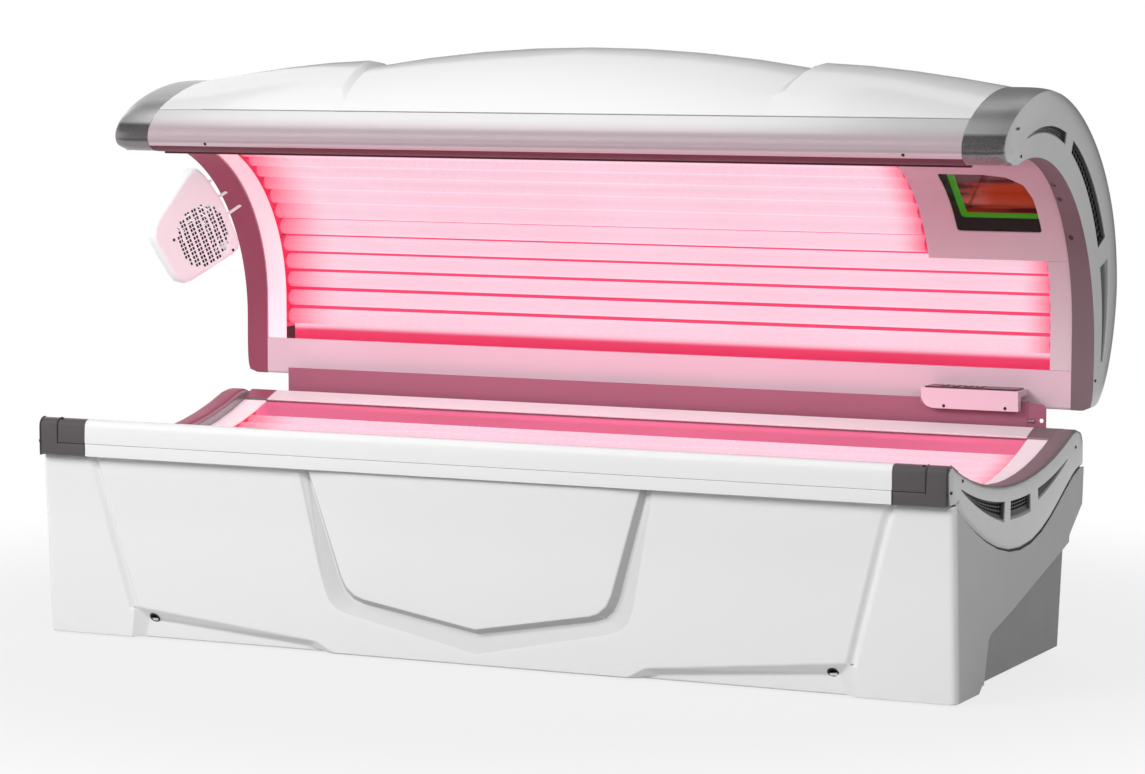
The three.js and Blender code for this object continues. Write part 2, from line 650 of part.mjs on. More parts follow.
function makeFrontPanel() {
  const plan = new THREE.Path();
  plan.moveTo(-HALF, PANEL_RETURN);
  plan.lineTo(-HALF, PANEL_CORNER);
  plan.quadraticCurveTo(-HALF, 0, -HALF + PANEL_CORNER, 0);
  plan.lineTo(HALF - PANEL_CORNER, 0);
  plan.quadraticCurveTo(HALF, 0, HALF, PANEL_CORNER);
  plan.lineTo(HALF, PANEL_RETURN);
  plan.lineTo(HALF - PANEL_FLANGE_INSET, PANEL_RETURN);
  plan.lineTo(HALF - PANEL_FLANGE_INSET, PANEL_FLANGE_DEPTH);
  plan.lineTo(-HALF + PANEL_FLANGE_INSET, PANEL_FLANGE_DEPTH);
  plan.lineTo(-HALF + PANEL_FLANGE_INSET, PANEL_RETURN);
  const slab = alongZ(toPoints(plan, CURVE_STEPS / 2), PANEL_FLOOR_GAP, PANEL_TOP);

  const clear = 2 * PANEL_WALL; // how far the cutting shapes reach past the panel's faces
  const outer = shieldOutline(PANEL_TOP + clear, SHIELD_HALF_TOP, SHIELD_HALF_FOOT,
    SHIELD_CORNER_HEIGHT, SHIELD_POINT_HEIGHT, SHIELD_CORNER_CUT);
  const border = (top, inward) => shieldOutline(top, SHIELD_HALF_TOP - SHIELD_BORDER_TOP - inward,
    SHIELD_HALF_FOOT - SHIELD_BORDER_SIDE - inward, SHIELD_CORNER_HEIGHT + SHIELD_BORDER_FOOT / 2 + inward,
    SHIELD_POINT_HEIGHT + SHIELD_BORDER_FOOT + inward, SHIELD_CORNER_CUT);
  const basin = loftY([
    { y: -clear, points: outer },
    { y: 0, points: outer },
    { y: SHIELD_SINK, points: border(PANEL_TOP + clear, 0) },
  ]);
  const shield = loftY([
    { y: -SHIELD_PROUD - SHIELD_CROWN, points: border(PANEL_TOP, 9 * SHIELD_DRAFT) },
    { y: -SHIELD_PROUD, points: border(PANEL_TOP, SHIELD_DRAFT) },
    { y: SHIELD_SINK, points: border(PANEL_TOP, 0) },
    { y: PANEL_FLANGE_DEPTH, points: border(PANEL_TOP, 0) },
  ]);

  const grooveAt = (half) => [
    [GROOVE_TOP + half, PANEL_TOP + clear], [GROOVE_FOOT + half, GROOVE_FOOT_HEIGHT],
    [GROOVE_FOOT - half, GROOVE_FOOT_HEIGHT], [GROOVE_TOP - half, PANEL_TOP + clear],
  ];
  const groove = loftY([
    { y: -clear, points: grooveAt(GROOVE_WIDTH / 2) },
    { y: 0, points: grooveAt(GROOVE_WIDTH / 2) },
    { y: GROOVE_DEPTH, points: grooveAt(GROOVE_FLOOR / 2) },
  ]);

  const toeAt = (slope) => [
    [TOE_INNER + slope, -clear], [TOE_INNER + slope, 0],
    [TOE_INNER + TOE_RISE + slope, TOE_HEIGHT_INNER - slope / 2],
    [GROOVE_FOOT - slope, TOE_HEIGHT_OUTER - slope],
    [TOE_OUTER - slope, 0], [TOE_OUTER - slope, -clear],
  ];
  const toe = loftY([
    { y: -clear, points: toeAt(0) },
    { y: 0, points: toeAt(0) },
    { y: TOE_DEPTH, points: toeAt(TOE_SLOPE) },
  ]);

  const formed = join(cut(slab, basin, groove, mirrored(groove), toe, mirrored(toe)), shield);
  const inside = formed.clone().scale((HALF - PANEL_WALL) / HALF, 1, 1).translate(0, PANEL_WALL, 0);
  const round = circle(PANEL_HOLE_X, PANEL_HOLE_HEIGHT, PANEL_HOLE_RADIUS, 12);
  const hole = alongY(round, -clear, BENCH_DEPTH / 4);
  const edge = box(HALF - PANEL_FLANGE_INSET - clear, HALF, PANEL_RETURN, BENCH_DEPTH, 0, PANEL_TOP + clear);
  const lean = new THREE.Matrix4().makeShear(0, 0, 0, 0, 0, -PANEL_LEAN / PANEL_TOP);
  return cut(formed, inside, hole, mirrored(hole), edge, mirrored(edge)).translate(0, 0, -PANEL_TOP)
    .applyMatrix4(lean).translate(0, 0, PANEL_TOP);
}

// Front rail and corner caps
function railLine() {
  const path = new THREE.Path();
  path.moveTo(-RAIL_PROUD, PANEL_TOP + TRIM_HEIGHT + SEAT);
  path.lineTo(-RAIL_PROUD, RAIL_TOP - RAIL_SHOULDER);
  path.quadraticCurveTo(-RAIL_PROUD, RAIL_TOP, 0, RAIL_TOP);
  path.lineTo(RAIL_BACK, lieHeight(RAIL_BACK, LIE_RADIUS));
  path.lineTo(RAIL_BACK, lieHeight(RAIL_BACK, ACRYLIC_RADIUS) - 2 * ACRYLIC_WALL);
  return toPoints(path).reverse();
}

function trimLine() {
  const low = PANEL_TOP + SEAT;
  const high = PANEL_TOP + TRIM_HEIGHT;
  const back = TRIM_DEPTH - RAIL_PROUD;
  return [[back, high], [-RAIL_PROUD, high], [-RAIL_PROUD, low], [back, low]];
}

function makeCornerCap() {
  const inner = HALF - CORNER_CAP_LENGTH + SEAT;
  const outer = HALF - COVER_FACE;
  const plugEnd = inner + RAIL_PLUG_LENGTH;
  const foot = alongX(sheetOutline(trimLine(), RAIL_WALL), inner, outer);
  const crown = [...railLine().slice(0, -1), [-RAIL_PROUD, PANEL_TOP + TRIM_HEIGHT - RAIL_WALL]];
  const shoulder = alongX(sheetOutline(crown, RAIL_WALL), plugEnd + SEAT, outer);
  return join(foot, shoulder);
}

function makeRailPlug() {
  const inner = HALF - CORNER_CAP_LENGTH + SEAT;
  return alongX(sheetOutline(railLine(), RAIL_WALL), inner, inner + RAIL_PLUG_LENGTH);
}

// Rear rail: a sloped top with a skirt behind and a leg that stands on the chassis beam
function rearRailOutline() {
  const slope = REAR_RAIL_RISE / REAR_RAIL_WIDTH;
  const under = (y) => REAR_RAIL_LOW - REAR_RAIL_WALL + (y - REAR_RAIL_FRONT) * slope;
  const skirt = BENCH_DEPTH - REAR_RAIL_WALL;
  return [
    [REAR_RAIL_FRONT, under(REAR_RAIL_FRONT)],
    [BEAM_REAR - REAR_RAIL_WALL, under(BEAM_REAR - REAR_RAIL_WALL)],
    [BEAM_REAR - REAR_RAIL_WALL, BEAM_TOP + SEAT], [BEAM_REAR, BEAM_TOP + SEAT],
    [BEAM_REAR, under(BEAM_REAR)], [skirt, under(skirt)],
    [skirt, REAR_RAIL_HIGH - REAR_RAIL_SKIRT], [BENCH_DEPTH, REAR_RAIL_HIGH - REAR_RAIL_SKIRT],
    [BENCH_DEPTH, REAR_RAIL_HIGH], [REAR_RAIL_FRONT, REAR_RAIL_LOW],
  ];
}

// End cover's lower edge, which the end panel's upper edge follows
function coverLine(lift) {
  const dip = BENCH_DEPTH / 2 - COVER_DIP_OFFSET;
  const front = PANEL_RETURN + 4 * SEAT;
  const path = new THREE.Path();
  path.moveTo(front, PANEL_TOP - PANEL_WALL);
  path.bezierCurveTo(front + dip / 4, PANEL_TOP - 0.5 * (PANEL_TOP - COVER_DIP_HEIGHT),
    dip * 0.65, COVER_DIP_HEIGHT, dip, COVER_DIP_HEIGHT);
  path.bezierCurveTo(dip * 1.37, COVER_DIP_HEIGHT, dip * 1.6, COVER_DIP_HEIGHT + 0.55 * coverRise(),
    dip * 1.84, COVER_DIP_HEIGHT + 0.88 * coverRise());
  path.quadraticCurveTo(dip * 1.94, COVER_REAR_HEIGHT, BENCH_DEPTH, COVER_REAR_HEIGHT);
  return toPoints(path).map(([y, z]) => [y, z + lift]);
}

function coverRise() {
  return COVER_REAR_HEIGHT - COVER_DIP_HEIGHT;
}

function coverOutline() {
  const front = -RAIL_PROUD + SEAT;
  const panelClear = PANEL_TOP + 2 * SEAT;
  const arcEnd = REAR_RAIL_FRONT - REAR_RAIL_WIDTH / 2;
  const nose = new THREE.Path();
  nose.moveTo(front, panelClear);
  nose.lineTo(front, RAIL_TOP - RAIL_SHOULDER);
  nose.quadraticCurveTo(front, RAIL_TOP, 0, RAIL_TOP);
  const tail = new THREE.Path();
  tail.moveTo(arcEnd, lieHeight(arcEnd, LIE_RADIUS));
  tail.bezierCurveTo(arcEnd + REAR_RAIL_WIDTH, REAR_RAIL_HIGH + 2 * END_WALL, BENCH_DEPTH, REAR_RAIL_HIGH,
    BENCH_DEPTH, REAR_RAIL_HIGH - REAR_RAIL_SKIRT);
  const top = lieArc(LIE_RADIUS, 0, arcEnd);
  const under = coverLine(SEAT);
  const points = [
    ...toPoints(nose), ...top.slice(1, -1), ...toPoints(tail), ...under.reverse(),
    [under.at(-1)[0], panelClear],
  ];
  return points.reverse();
}

function makeEndCover() {
  const outline = coverOutline();
  const inner = HALF - END_BAND;
  const face = HALF - COVER_FACE;
  const body = roundedAlongX(outline, inner, HALF, COVER_ROUND);
  const hollow = alongX(inset(outline, COVER_WALL), inner + COVER_WALL, face);
  const pocket = box(inner - SEAT, face + SEAT, -BENCH_DEPTH / 4, RAIL_BACK + SEAT, PANEL_TOP, 2 * RAIL_TOP);
  const vents = COVER_VENTS.map((vent) => alongX(
    taperedSlot(LIE_MIDDLE, LIE_Z, LIE_RADIUS + VENT_DROP, -90, vent), face - SEAT, HALF + SEAT));
  const block = alongX(rearRailOutline(), HALF - END_BAND - REAR_RAIL_END_GAP + SEAT, inner + COVER_WALL);
  return join(cut(body, hollow, pocket, ...vents), block);
}

function rearLine() {
  return [
    [BENCH_DEPTH, COVER_REAR_HEIGHT], [BENCH_DEPTH - REAR_LEAN, REAR_SHELF_HIGH],
    [BENCH_DEPTH - REAR_LEAN - REAR_SHELF_DEPTH, REAR_SHELF_LOW],
    [BENCH_DEPTH - REAR_LEAN - REAR_SHELF_DEPTH - REAR_SKIRT_LEAN, END_NOTCH_HEIGHT],
  ];
}

function makeEndPanel() {
  const leanAt = (z) => PANEL_RETURN + 3 * SEAT + (PANEL_LEAN * (PANEL_TOP - z)) / PANEL_TOP;
  const footFront = leanAt(PANEL_FLOOR_GAP);
  const footRear = footFront + END_FOOT_LENGTH;
  const under = coverLine(-SEAT);
  const outline = [
    [footFront, PANEL_FLOOR_GAP], [footRear, PANEL_FLOOR_GAP],
    [footRear + END_NOTCH_HEIGHT, END_NOTCH_HEIGHT],
    ...rearLine().reverse().slice(0, -1), ...under.reverse(),
  ];
  const slab = alongX(outline, HALF - 3 * END_RECESS, HALF);
  const shelf = BENCH_DEPTH - REAR_LEAN - REAR_SHELF_DEPTH;
  const recessAt = (drop) => [
    [footRear + END_NOTCH_HEIGHT + drop, -END_NOTCH_HEIGHT], [2 * BENCH_DEPTH, -END_NOTCH_HEIGHT],
    [2 * BENCH_DEPTH, REAR_SHELF_LOW - drop], [shelf, REAR_SHELF_LOW - END_RECESS - drop],
    [shelf / 2, REAR_SHELF_LOW * 0.58 - drop], [shelf / 3.2, REAR_SHELF_LOW * 0.46 - drop],
    [footRear + 3 * END_NOTCH_HEIGHT + drop, REAR_SHELF_LOW * 0.41 - drop],
  ];
  const recess = loftX([
    { x: HALF - END_RECESS, points: recessAt(END_RECESS_DRAFT) },
    { x: HALF, points: recessAt(0) },
    { x: HALF + END_RECESS, points: recessAt(0) },
  ]);
  const formed = cut(slab, recess);
  return cut(formed, formed.clone().translate(-END_WALL, 0, 0));
}

function makeRearPanel() {
  const line = rearLine();
  const half = HALF - END_RECESS - END_WALL - SEAT;
  const top = [BENCH_DEPTH - REAR_RAIL_WALL - SEAT, REAR_RAIL_HIGH - REAR_RAIL_SKIRT / 2];
  const outer = [[top[0], top[1]], [top[0], COVER_REAR_HEIGHT], ...line.slice(1)];
  const panel = alongX(sheetOutline(outer.reverse(), REAR_PANEL_WALL), -half, half);
  const middle = (REAR_SHELF_LOW + END_NOTCH_HEIGHT) / 2;
  const vents = Array.from({ length: REAR_VENT_COUNT }, (_, i) => {
    const z = middle + (i - (REAR_VENT_COUNT - 1) / 2) * REAR_VENT_PITCH;
    return box(COOLER_X - REAR_VENT_LENGTH / 2, COOLER_X + REAR_VENT_LENGTH / 2,
      FRAME_REAR, BENCH_DEPTH, z - REAR_VENT_HEIGHT / 2, z + REAR_VENT_HEIGHT / 2);
  });
  const reach = FORK_HALF + HINGE_HEAD;
  const notch = box(HINGE_X - reach, HINGE_X + reach, BEAM_REAR, HINGE_Y, BEAM_TOP - BEAM_SIZE, HINGE_Z);
  const corner = box(HALF - END_BAND - SEAT, HALF, FRAME_REAR, HINGE_Y, COVER_REAR_HEIGHT - SEAT, RAIL_TOP);
  return cut(panel, ...vents, notch, mirrored(notch), corner, mirrored(corner));
}

// Sheets that follow the lying surface
function lieArc(radius, from, to) {
  const angleAt = (y) => THREE.MathUtils.radToDeg(Math.asin((y - LIE_MIDDLE) / radius)) - 90;
  return arc(LIE_MIDDLE, LIE_Z, radius, angleAt(from), angleAt(to), 2 * CURVE_STEPS);
}

function lieSheet(radius, wall, from, to) {
  return [...lieArc(radius + wall, from, to), ...lieArc(radius, to, from)];
}

function lieSpan() {
  return [RAIL_BACK + SEAT, REAR_RAIL_FRONT - SEAT];
}

function benchLampPlaces() {
  return Array.from({ length: BENCH_LAMPS }, (_, i) => {
    const angle = ((i - (BENCH_LAMPS - 1) / 2) * BENCH_LAMP_PITCH) / BENCH_LAMP_RADIUS;
    return [LIE_MIDDLE + BENCH_LAMP_RADIUS * Math.sin(angle), LIE_Z - BENCH_LAMP_RADIUS * Math.cos(angle)];
  });
}

// Lamps plugged through two holder plates
function lampBank(places, plates) {
  const from = plates[0].x;
  const to = plates.at(-1).x + FRAME_PLATE;
  const holders = plates.map((plate) => alongX(plate.points, plate.x, plate.x + FRAME_PLATE));
  const tubes = places.map(([y, z]) => alongX(circle(y, z, LAMP_RADIUS, LAMP_SIDES), from, to));
  const bores = places.map(([y, z]) => alongX(
    circle(y, z, LAMP_RADIUS - LAMP_WALL, LAMP_SIDES), from - SEAT, to + SEAT));
  return cut(join(...holders, ...tubes), ...bores);
}

function makeBenchLamps() {
  const from = RAIL_BACK + RAIL_WALL;
  const to = BEAM_REAR - BEAM_SIZE - 2 * SEAT;
  const topRadius = ACRYLIC_RADIUS + ACRYLIC_WALL + STRIP_WALL + 2.5 * SEAT;
  const foot = CHASSIS_TOP + SEAT;
  const points = [
    [FRAME_FRONT, foot], [to - FRAME_BRACE, foot], [to, foot + FRAME_BRACE],
    ...lieArc(topRadius, to, from), [from, foot + FRAME_BRACE],
  ];
  return lampBank(benchLampPlaces(), [
    { x: -LAMP_PLATE_X - FRAME_PLATE, points }, { x: LAMP_PLATE_X, points },
  ]);
}

function makeBenchReflector() {
  const margin = LAMP_RADIUS + LAMP_GAP;
  const places = benchLampPlaces();
  const front = places[0][0] - margin;
  const rear = places.at(-1)[0] + margin;
  const outline = lieSheet(BENCH_REFLECTOR_RADIUS, REFLECTOR_WALL, front, rear);
  return alongX(outline, -LAMP_PLATE_X + SEAT, LAMP_PLATE_X - SEAT);
}

function makeChassis() {
  const shelf = rearLine()[2];
  const beamFront = BEAM_REAR - BEAM_SIZE;
  const outline = [
    [FRAME_FRONT, FOOT_HEIGHT], [FRAME_REAR, FOOT_HEIGHT], [shelf[0] - ANGLE_SIZE, shelf[1]],
    [BEAM_REAR, REAR_SHELF_HIGH + ANGLE_WALL], [BEAM_REAR, BEAM_TOP], [beamFront, BEAM_TOP],
    [beamFront, CHASSIS_TOP + FRAME_BRACE], [beamFront - FRAME_BRACE, CHASSIS_TOP],
    [FRAME_FRONT, CHASSIS_TOP],
  ];
  const window = [
    { y: FRAME_FRONT + FRAME_RIM, z: FOOT_HEIGHT + FRAME_RIM, round: FRAME_RIM / 2 },
    { y: FRAME_REAR - FRAME_RIM, z: FOOT_HEIGHT + FRAME_RIM, round: FRAME_RIM / 2 },
    { y: FRAME_REAR - FRAME_RIM, z: CHASSIS_TOP - FRAME_RIM, round: FRAME_RIM / 2 },
    { y: FRAME_FRONT + FRAME_RIM, z: CHASSIS_TOP - FRAME_RIM, round: FRAME_RIM / 2 },
  ];
  const opening = alongX(roundedCorners(window), 0, HALF);
  const frame = cut(alongX(outline, LAMP_PLATE_X, LAMP_PLATE_X + FRAME_PLATE), opening);
  const rail = (points) => alongX(points, -LAMP_PLATE_X - 1, LAMP_PLATE_X + 1);
  const angle = (y, z, sideY, sideZ) => rail(sheetOutline([
    [y + sideY * ANGLE_SIZE, z], [y, z], [y, z + sideZ * ANGLE_SIZE],
  ], -sideY * sideZ * ANGLE_WALL));
  const channel = rail(sheetOutline([
    [beamFront, BEAM_TOP - BEAM_SIZE], [BEAM_REAR, BEAM_TOP - BEAM_SIZE],
    [BEAM_REAR, BEAM_TOP], [beamFront, BEAM_TOP],
  ], ANGLE_WALL));
  return join(frame, mirrored(frame), channel, angle(FRAME_FRONT, FOOT_HEIGHT, 1, 1),
    angle(FRAME_REAR, FOOT_HEIGHT, -1, 1), angle(FRAME_FRONT, CHASSIS_TOP, 1, -1));
}

function makeFoot(x, y) {
  const profile = [
    [0, 0], [FOOT_RADIUS, 0], [FOOT_RADIUS, FOOT_PAD], [FOOT_STEM_RADIUS, FOOT_PAD * 1.8],
    [FOOT_STEM_RADIUS, FOOT_HEIGHT - SEAT], [0, FOOT_HEIGHT - SEAT],
  ];
  const lathe = new THREE.LatheGeometry(profile.map(([r, z]) => new THREE.Vector2(r, z)), 16);
  return weld(lathe.rotateX(Math.PI / 2).translate(x, y, 0));
}

function makeBallastTray() {
  const floor = FOOT_HEIGHT + ANGLE_WALL + SEAT;
  const front = FRAME_FRONT + ANGLE_WALL + SEAT;
  const rear = FRAME_REAR - ANGLE_WALL - SEAT;
  const left = -LAMP_PLATE_X + FRAME_RIM;
  const right = COOLER_X - COOLER_SIZE / 2 - TRAY_FAN_GAP;
  const tray = alongX(sheetOutline([
    [front, floor + BALLAST_HEIGHT / 2], [front, floor], [rear, floor], [rear, floor + BALLAST_HEIGHT / 2],
  ], TRAY_WALL), left, right);
  const pitchX = (right - left) / BALLAST_COLUMNS;
  const pitchY = (rear - front) / BALLAST_ROWS;
  const ballasts = Array.from({ length: BALLAST_COLUMNS * BALLAST_ROWS }, (_, i) => {
    const x = left + pitchX * (0.5 + (i % BALLAST_COLUMNS));
    const y = front + pitchY * (0.5 + Math.floor(i / BALLAST_COLUMNS));
    return box(x - BALLAST_LENGTH / 2, x + BALLAST_LENGTH / 2, y - BALLAST_WIDTH / 2, y + BALLAST_WIDTH / 2,
      floor + TRAY_WALL / 2, floor + TRAY_WALL + BALLAST_HEIGHT);
  });
  return join(tray, ...ballasts);
}

// Cooling fan: a square frame with a four-arm bearing, standing on the rear chassis angle
function coolerPlace() {
  const y = FRAME_REAR - ANGLE_WALL - SEAT - COOLER_DEPTH;
  const z = FOOT_HEIGHT + ANGLE_WALL + SEAT + COOLER_SIZE / 2;
  return new THREE.Matrix4().makeTranslation(COOLER_X, y, z)
    .multiply(new THREE.Matrix4().makeRotationX(-Math.PI / 2));
}

function spider(reach, base, wall, bossRadius, bossDepth) {
  const arm = weld(new THREE.BoxGeometry(2 * reach, 2 * SHAFT_RADIUS, wall));
  arm.translate(0, 0, base + wall / 2);
  const boss = weld(new THREE.CylinderGeometry(bossRadius, bossRadius, bossDepth, 14).rotateX(Math.PI / 2));
  boss.translate(0, 0, base + bossDepth / 2);
  const bore = weld(new THREE.CylinderGeometry(SHAFT_RADIUS + SEAT, SHAFT_RADIUS + SEAT, 4 * bossDepth, 10));
  bore.rotateX(Math.PI / 2).translate(0, 0, base);
  return cut(join(arm, arm.clone().rotateZ(Math.PI / 2), boss), bore);
}

function makeCoolerFrame() {
  const half = COOLER_SIZE / 2;
  const rim = cut(box(-half, half, -half, half, 0, COOLER_DEPTH),
    alongZ(circle(0, 0, COOLER_BORE, 24), -SEAT, COOLER_DEPTH + SEAT));
  const reach = COOLER_BORE + COOLER_TIP_GAP;
  const bearing = spider(reach, 0, COOLER_DEPTH / 6, 4 * SHAFT_RADIUS, COOLER_DEPTH / 4);
  return placed(join(rim, bearing), coolerPlace());
}

function makeCoolerRotor() {
  const depth = COOLER_DEPTH / 2;
  const wheel = fanWheel(COOLER_BORE - COOLER_TIP_GAP, COOLER_BORE / 3, depth, COOLER_DEPTH * 0.55);
  return placed(wheel.translate(0, 0, COOLER_DEPTH * 0.6), coolerPlace());
}

// Hinge
function makeHingeShroud() {
  const back = BENCH_DEPTH + SHROUD_OFFSET + SHROUD_WALL;
  const low = REAR_RAIL_HIGH - SHROUD_FLANGE_DROP;
  const line = [[BENCH_DEPTH + SEAT, low], [back, low], [back, low + SHROUD_HEIGHT]];
  return alongX(sheetOutline(line, SHROUD_WALL), -SHROUD_HALF_LENGTH, SHROUD_HALF_LENGTH);
}

function makeCableBracket() {
  const left = SHROUD_HALF_LENGTH + SEAT;
  const right = SHROUD_HALF_LENGTH + BRACKET_EAR_LENGTH;
  const low = REAR_RAIL_HIGH - SHROUD_FLANGE_DROP;
  const top = low + BRACKET_EAR_HEIGHT + SHROUD_FLANGE_DROP;
  const ear = new THREE.Path();
  ear.moveTo(left, low);
  ear.lineTo(right, low);
  ear.lineTo(right, top - BRACKET_EAR_ROUND);
  ear.quadraticCurveTo(right, top, right - BRACKET_EAR_ROUND, top);
  ear.lineTo(left, top);
  const back = BENCH_DEPTH + SHROUD_OFFSET + SHROUD_WALL;
  const plate = alongY(toPoints(ear), back - SHROUD_WALL, back);
  const flange = box(left, right, BENCH_DEPTH + SEAT, back, low, low + SHROUD_WALL);
  const round = circle(right - BRACKET_HOLE_INSET, HINGE_Z, BRACKET_HOLE_RADIUS, 12);
  return cut(join(plate, flange), alongY(round, BENCH_DEPTH, HINGE_Y));
}

function hingeBore() {
  return alongX(circle(HINGE_Y, HINGE_Z, HINGE_PIN_RADIUS + SEAT, 14), 0, HALF);
}

function makeHingeBracket() {
  const base = BEAM_REAR + SEAT;
  const low = BEAM_TOP - BEAM_SIZE;
  const flangeZ = REAR_RAIL_HIGH - REAR_RAIL_SKIRT - 2 * SEAT;
  const behindShroud = BENCH_DEPTH + SHROUD_OFFSET + SHROUD_WALL + 2 * SEAT;
  const eye = arc(HINGE_Y, HINGE_Z, HINGE_EYE, -50, 180, CURVE_STEPS);
  const points = [
    [base, low], [HINGE_Y - HINGE_EYE, low], ...eye,
    [behindShroud, HINGE_Z - HINGE_EYE - HINGE_HEAD], [HINGE_Y - 2 * HINGE_EYE, flangeZ], [base, flangeZ],
  ];
  const plate = cut(alongX(points, HINGE_X + FORK_HALF - FORK_PLATE, HINGE_X + FORK_HALF), hingeBore());
  const other = plate.clone().translate(FORK_PLATE - 2 * FORK_HALF, 0, 0);
  const foot = box(HINGE_X - FORK_HALF, HINGE_X + FORK_HALF, base, base + FORK_PLATE, low, flangeZ);
  return join(plate, other, foot);
}

function makeHingePin() {
  const half = FORK_HALF + SEAT;
  const profile = [
    [0, -half - HINGE_HEAD], [HINGE_HEAD_RADIUS, -half - HINGE_HEAD], [HINGE_HEAD_RADIUS, -half],
    [HINGE_PIN_RADIUS, -half], [HINGE_PIN_RADIUS, half], [HINGE_HEAD_RADIUS, half],
    [HINGE_HEAD_RADIUS, half + HINGE_HEAD], [0, half + HINGE_HEAD],
  ];
  const lathe = new THREE.LatheGeometry(profile.map(([r, x]) => new THREE.Vector2(r, x)), 14);
  return weld(lathe.rotateZ(-Math.PI / 2).translate(HINGE_X, HINGE_Y, HINGE_Z));
}

function makeHingeArm() {
  const flange = SHEET_REAR + LOWER_RAIL_FLANGE + LOWER_RAIL_WALL;
  const railBack = SHEET_REAR + LOWER_RAIL_WALL + SEAT;
  const rear = railBack + ARM_WIDTH;
  const shoulder = SKIRT_Z + 2 * LOWER_RAIL_WALL;
  const top = LOWER_RAIL_TOP - 2 * LOWER_RAIL_WALL;
  const eye = arc(HINGE_Y, HINGE_Z, HINGE_EYE, 90, 300, CURVE_STEPS);
  const points = [
    ...eye, [rear, HINGE_Z + ARM_WIDTH], [rear, top], [railBack, top], [railBack, shoulder],
    [flange, shoulder], [flange, SKIRT_Z - LOWER_RAIL_WALL],
  ];
  return cut(alongX(points, HINGE_X - ARM_THICKNESS / 2, HINGE_X + ARM_THICKNESS / 2), hingeBore());
}

// Torsion spring on the hinge pin, one leg held under the fork's foot
function makeHingeSpring() {
  const start = HINGE_X + ARM_THICKNESS / 2 + SPRING_WIRE;
  const mean = (HINGE_PIN_RADIUS + SEAT + SPRING_WIRE / 2) / Math.cos(Math.PI / SPRING_STEPS);
  const coil = Array.from({ length: SPRING_STEPS * SPRING_TURNS + 1 }, (_, i) => {
    const turn = (2 * Math.PI * i) / SPRING_STEPS;
    return [start + (SPRING_PITCH * i) / SPRING_STEPS,
      HINGE_Y + mean * Math.sin(turn), HINGE_Z + mean * Math.cos(turn)];
  });
  const leg = (at, sign) => [at[0], at[1] + sign * SPRING_LEG, at[2]];
  const line = [leg(coil[0], -1), ...coil, leg(coil.at(-1), 1)];
  console.log(`hinge spring least gap ${springGap(coil).toFixed(2)} mm`);
  return sweep(line, SPRING_WIRE / 2, 5);
}

function springGap(coil) {
  const gaps = coil.flatMap((a, i) => coil.slice(i + 5).map((b) =>
    Math.hypot(a[0] - b[0], a[1] - b[1], a[2] - b[2]) - SPRING_WIRE));
  return Math.min(...gaps);
}

// Canopy section: the outer line from under the nose, over the roof, to the bottom edge
function outerLine() {
  const path = new THREE.Path();
  path.moveTo(NOSE_Y + NOSE_CHIN, NOSE_UNDER);
  path.bezierCurveTo(NOSE_Y - NOSE_LIP / 3, NOSE_UNDER,
    NOSE_Y - NOSE_LIP, NOSE_UNDER + 0.6 * (NOSE_BROW + NOSE_LIP),
    NOSE_Y + 0.3 * NOSE_BROW, SHEET_TOP + NOSE_BROW);
  path.bezierCurveTo(NOSE_Y + 0.7 * NOSE_BROW, SHEET_TOP + 0.6 * ROOF_RISE,
    ARC_Y - 0.7 * ROOF_FORWARD, ROOF_Z,
    ARC_Y + ROOF_FORWARD, ROOF_Z);
  path.bezierCurveTo(ARC_Y + 0.47 * (REAR_Y - ARC_Y), ROOF_Z,
    REAR_Y, ARC_Z + 0.68 * (ROOF_Z - ARC_Z),
    REAR_Y, ARC_Z + 0.19 * (ROOF_Z - ARC_Z));
  path.bezierCurveTo(REAR_Y, ARC_Z - 0.1 * SKIRT_HEIGHT,
    REAR_Y - 0.46 * REAR_TUCK, SKIRT_Z + 0.12 * SKIRT_HEIGHT,
    REAR_Y - REAR_TUCK, SKIRT_Z);
  return toPoints(path, SECTION_STEPS);
}

const SEAM_INDEX = SECTION_STEPS + SECTION_STEPS / 4; // point of the outer line where rail and shell meet

// A line at a distance from the arc's centre, up the straight skirt and round to an angle
function sheetLine(radius, low, angle) {
  return [[ARC_Y + radius, low], ...arc(ARC_Y, ARC_Z, radius, 0, angle)];
}

function canopySheet(radius, wall, low, angle) {
  const inner = sheetLine(radius, low, angle);
  return [...sheetLine(radius + wall, low, angle), ...inner.reverse()];
}

function sectorSheet(radius, wall, from, to) {
  return [...arc(ARC_Y, ARC_Z, radius + wall, from, to), ...arc(ARC_Y, ARC_Z, radius, from, to).reverse()];
}

// The space inside the canopy's C, at the sheet or at the outer lip of the end caps
function mouth(y, z, radius, skirtY, shrink) {
  const under = NOSE_UNDER + 1 - shrink;
  const end = 180 - THREE.MathUtils.radToDeg(Math.asin((under - z) / (radius - shrink)));
  return [
    [NOSE_Y - NOSE_REACH, SKIRT_Z - SKIRT_HEIGHT], [skirtY - shrink, SKIRT_Z - SKIRT_HEIGHT],
    ...arc(y, z, radius - shrink, 0, end), [NOSE_Y - NOSE_REACH, under],
  ];
}

function mouthSolid(shrink) {
  const sheet = mouth(ARC_Y, ARC_Z, SHEET_RADIUS, SHEET_REAR, shrink);
  const lip = mouth(ARC_Y - LIP_BACK, ARC_Z - LIP_DOWN, SHEET_RADIUS + LIP_GROWTH,
    SHEET_REAR - LIP_SKIRT_PROUD, shrink);
  return loftX([
    { x: CAP_INNER_X - CAP_LENGTH, points: sheet }, { x: HALF - END_BAND, points: sheet },
    { x: HALF, points: lip }, { x: HALF + END_BAND, points: lip },
  ]);
}

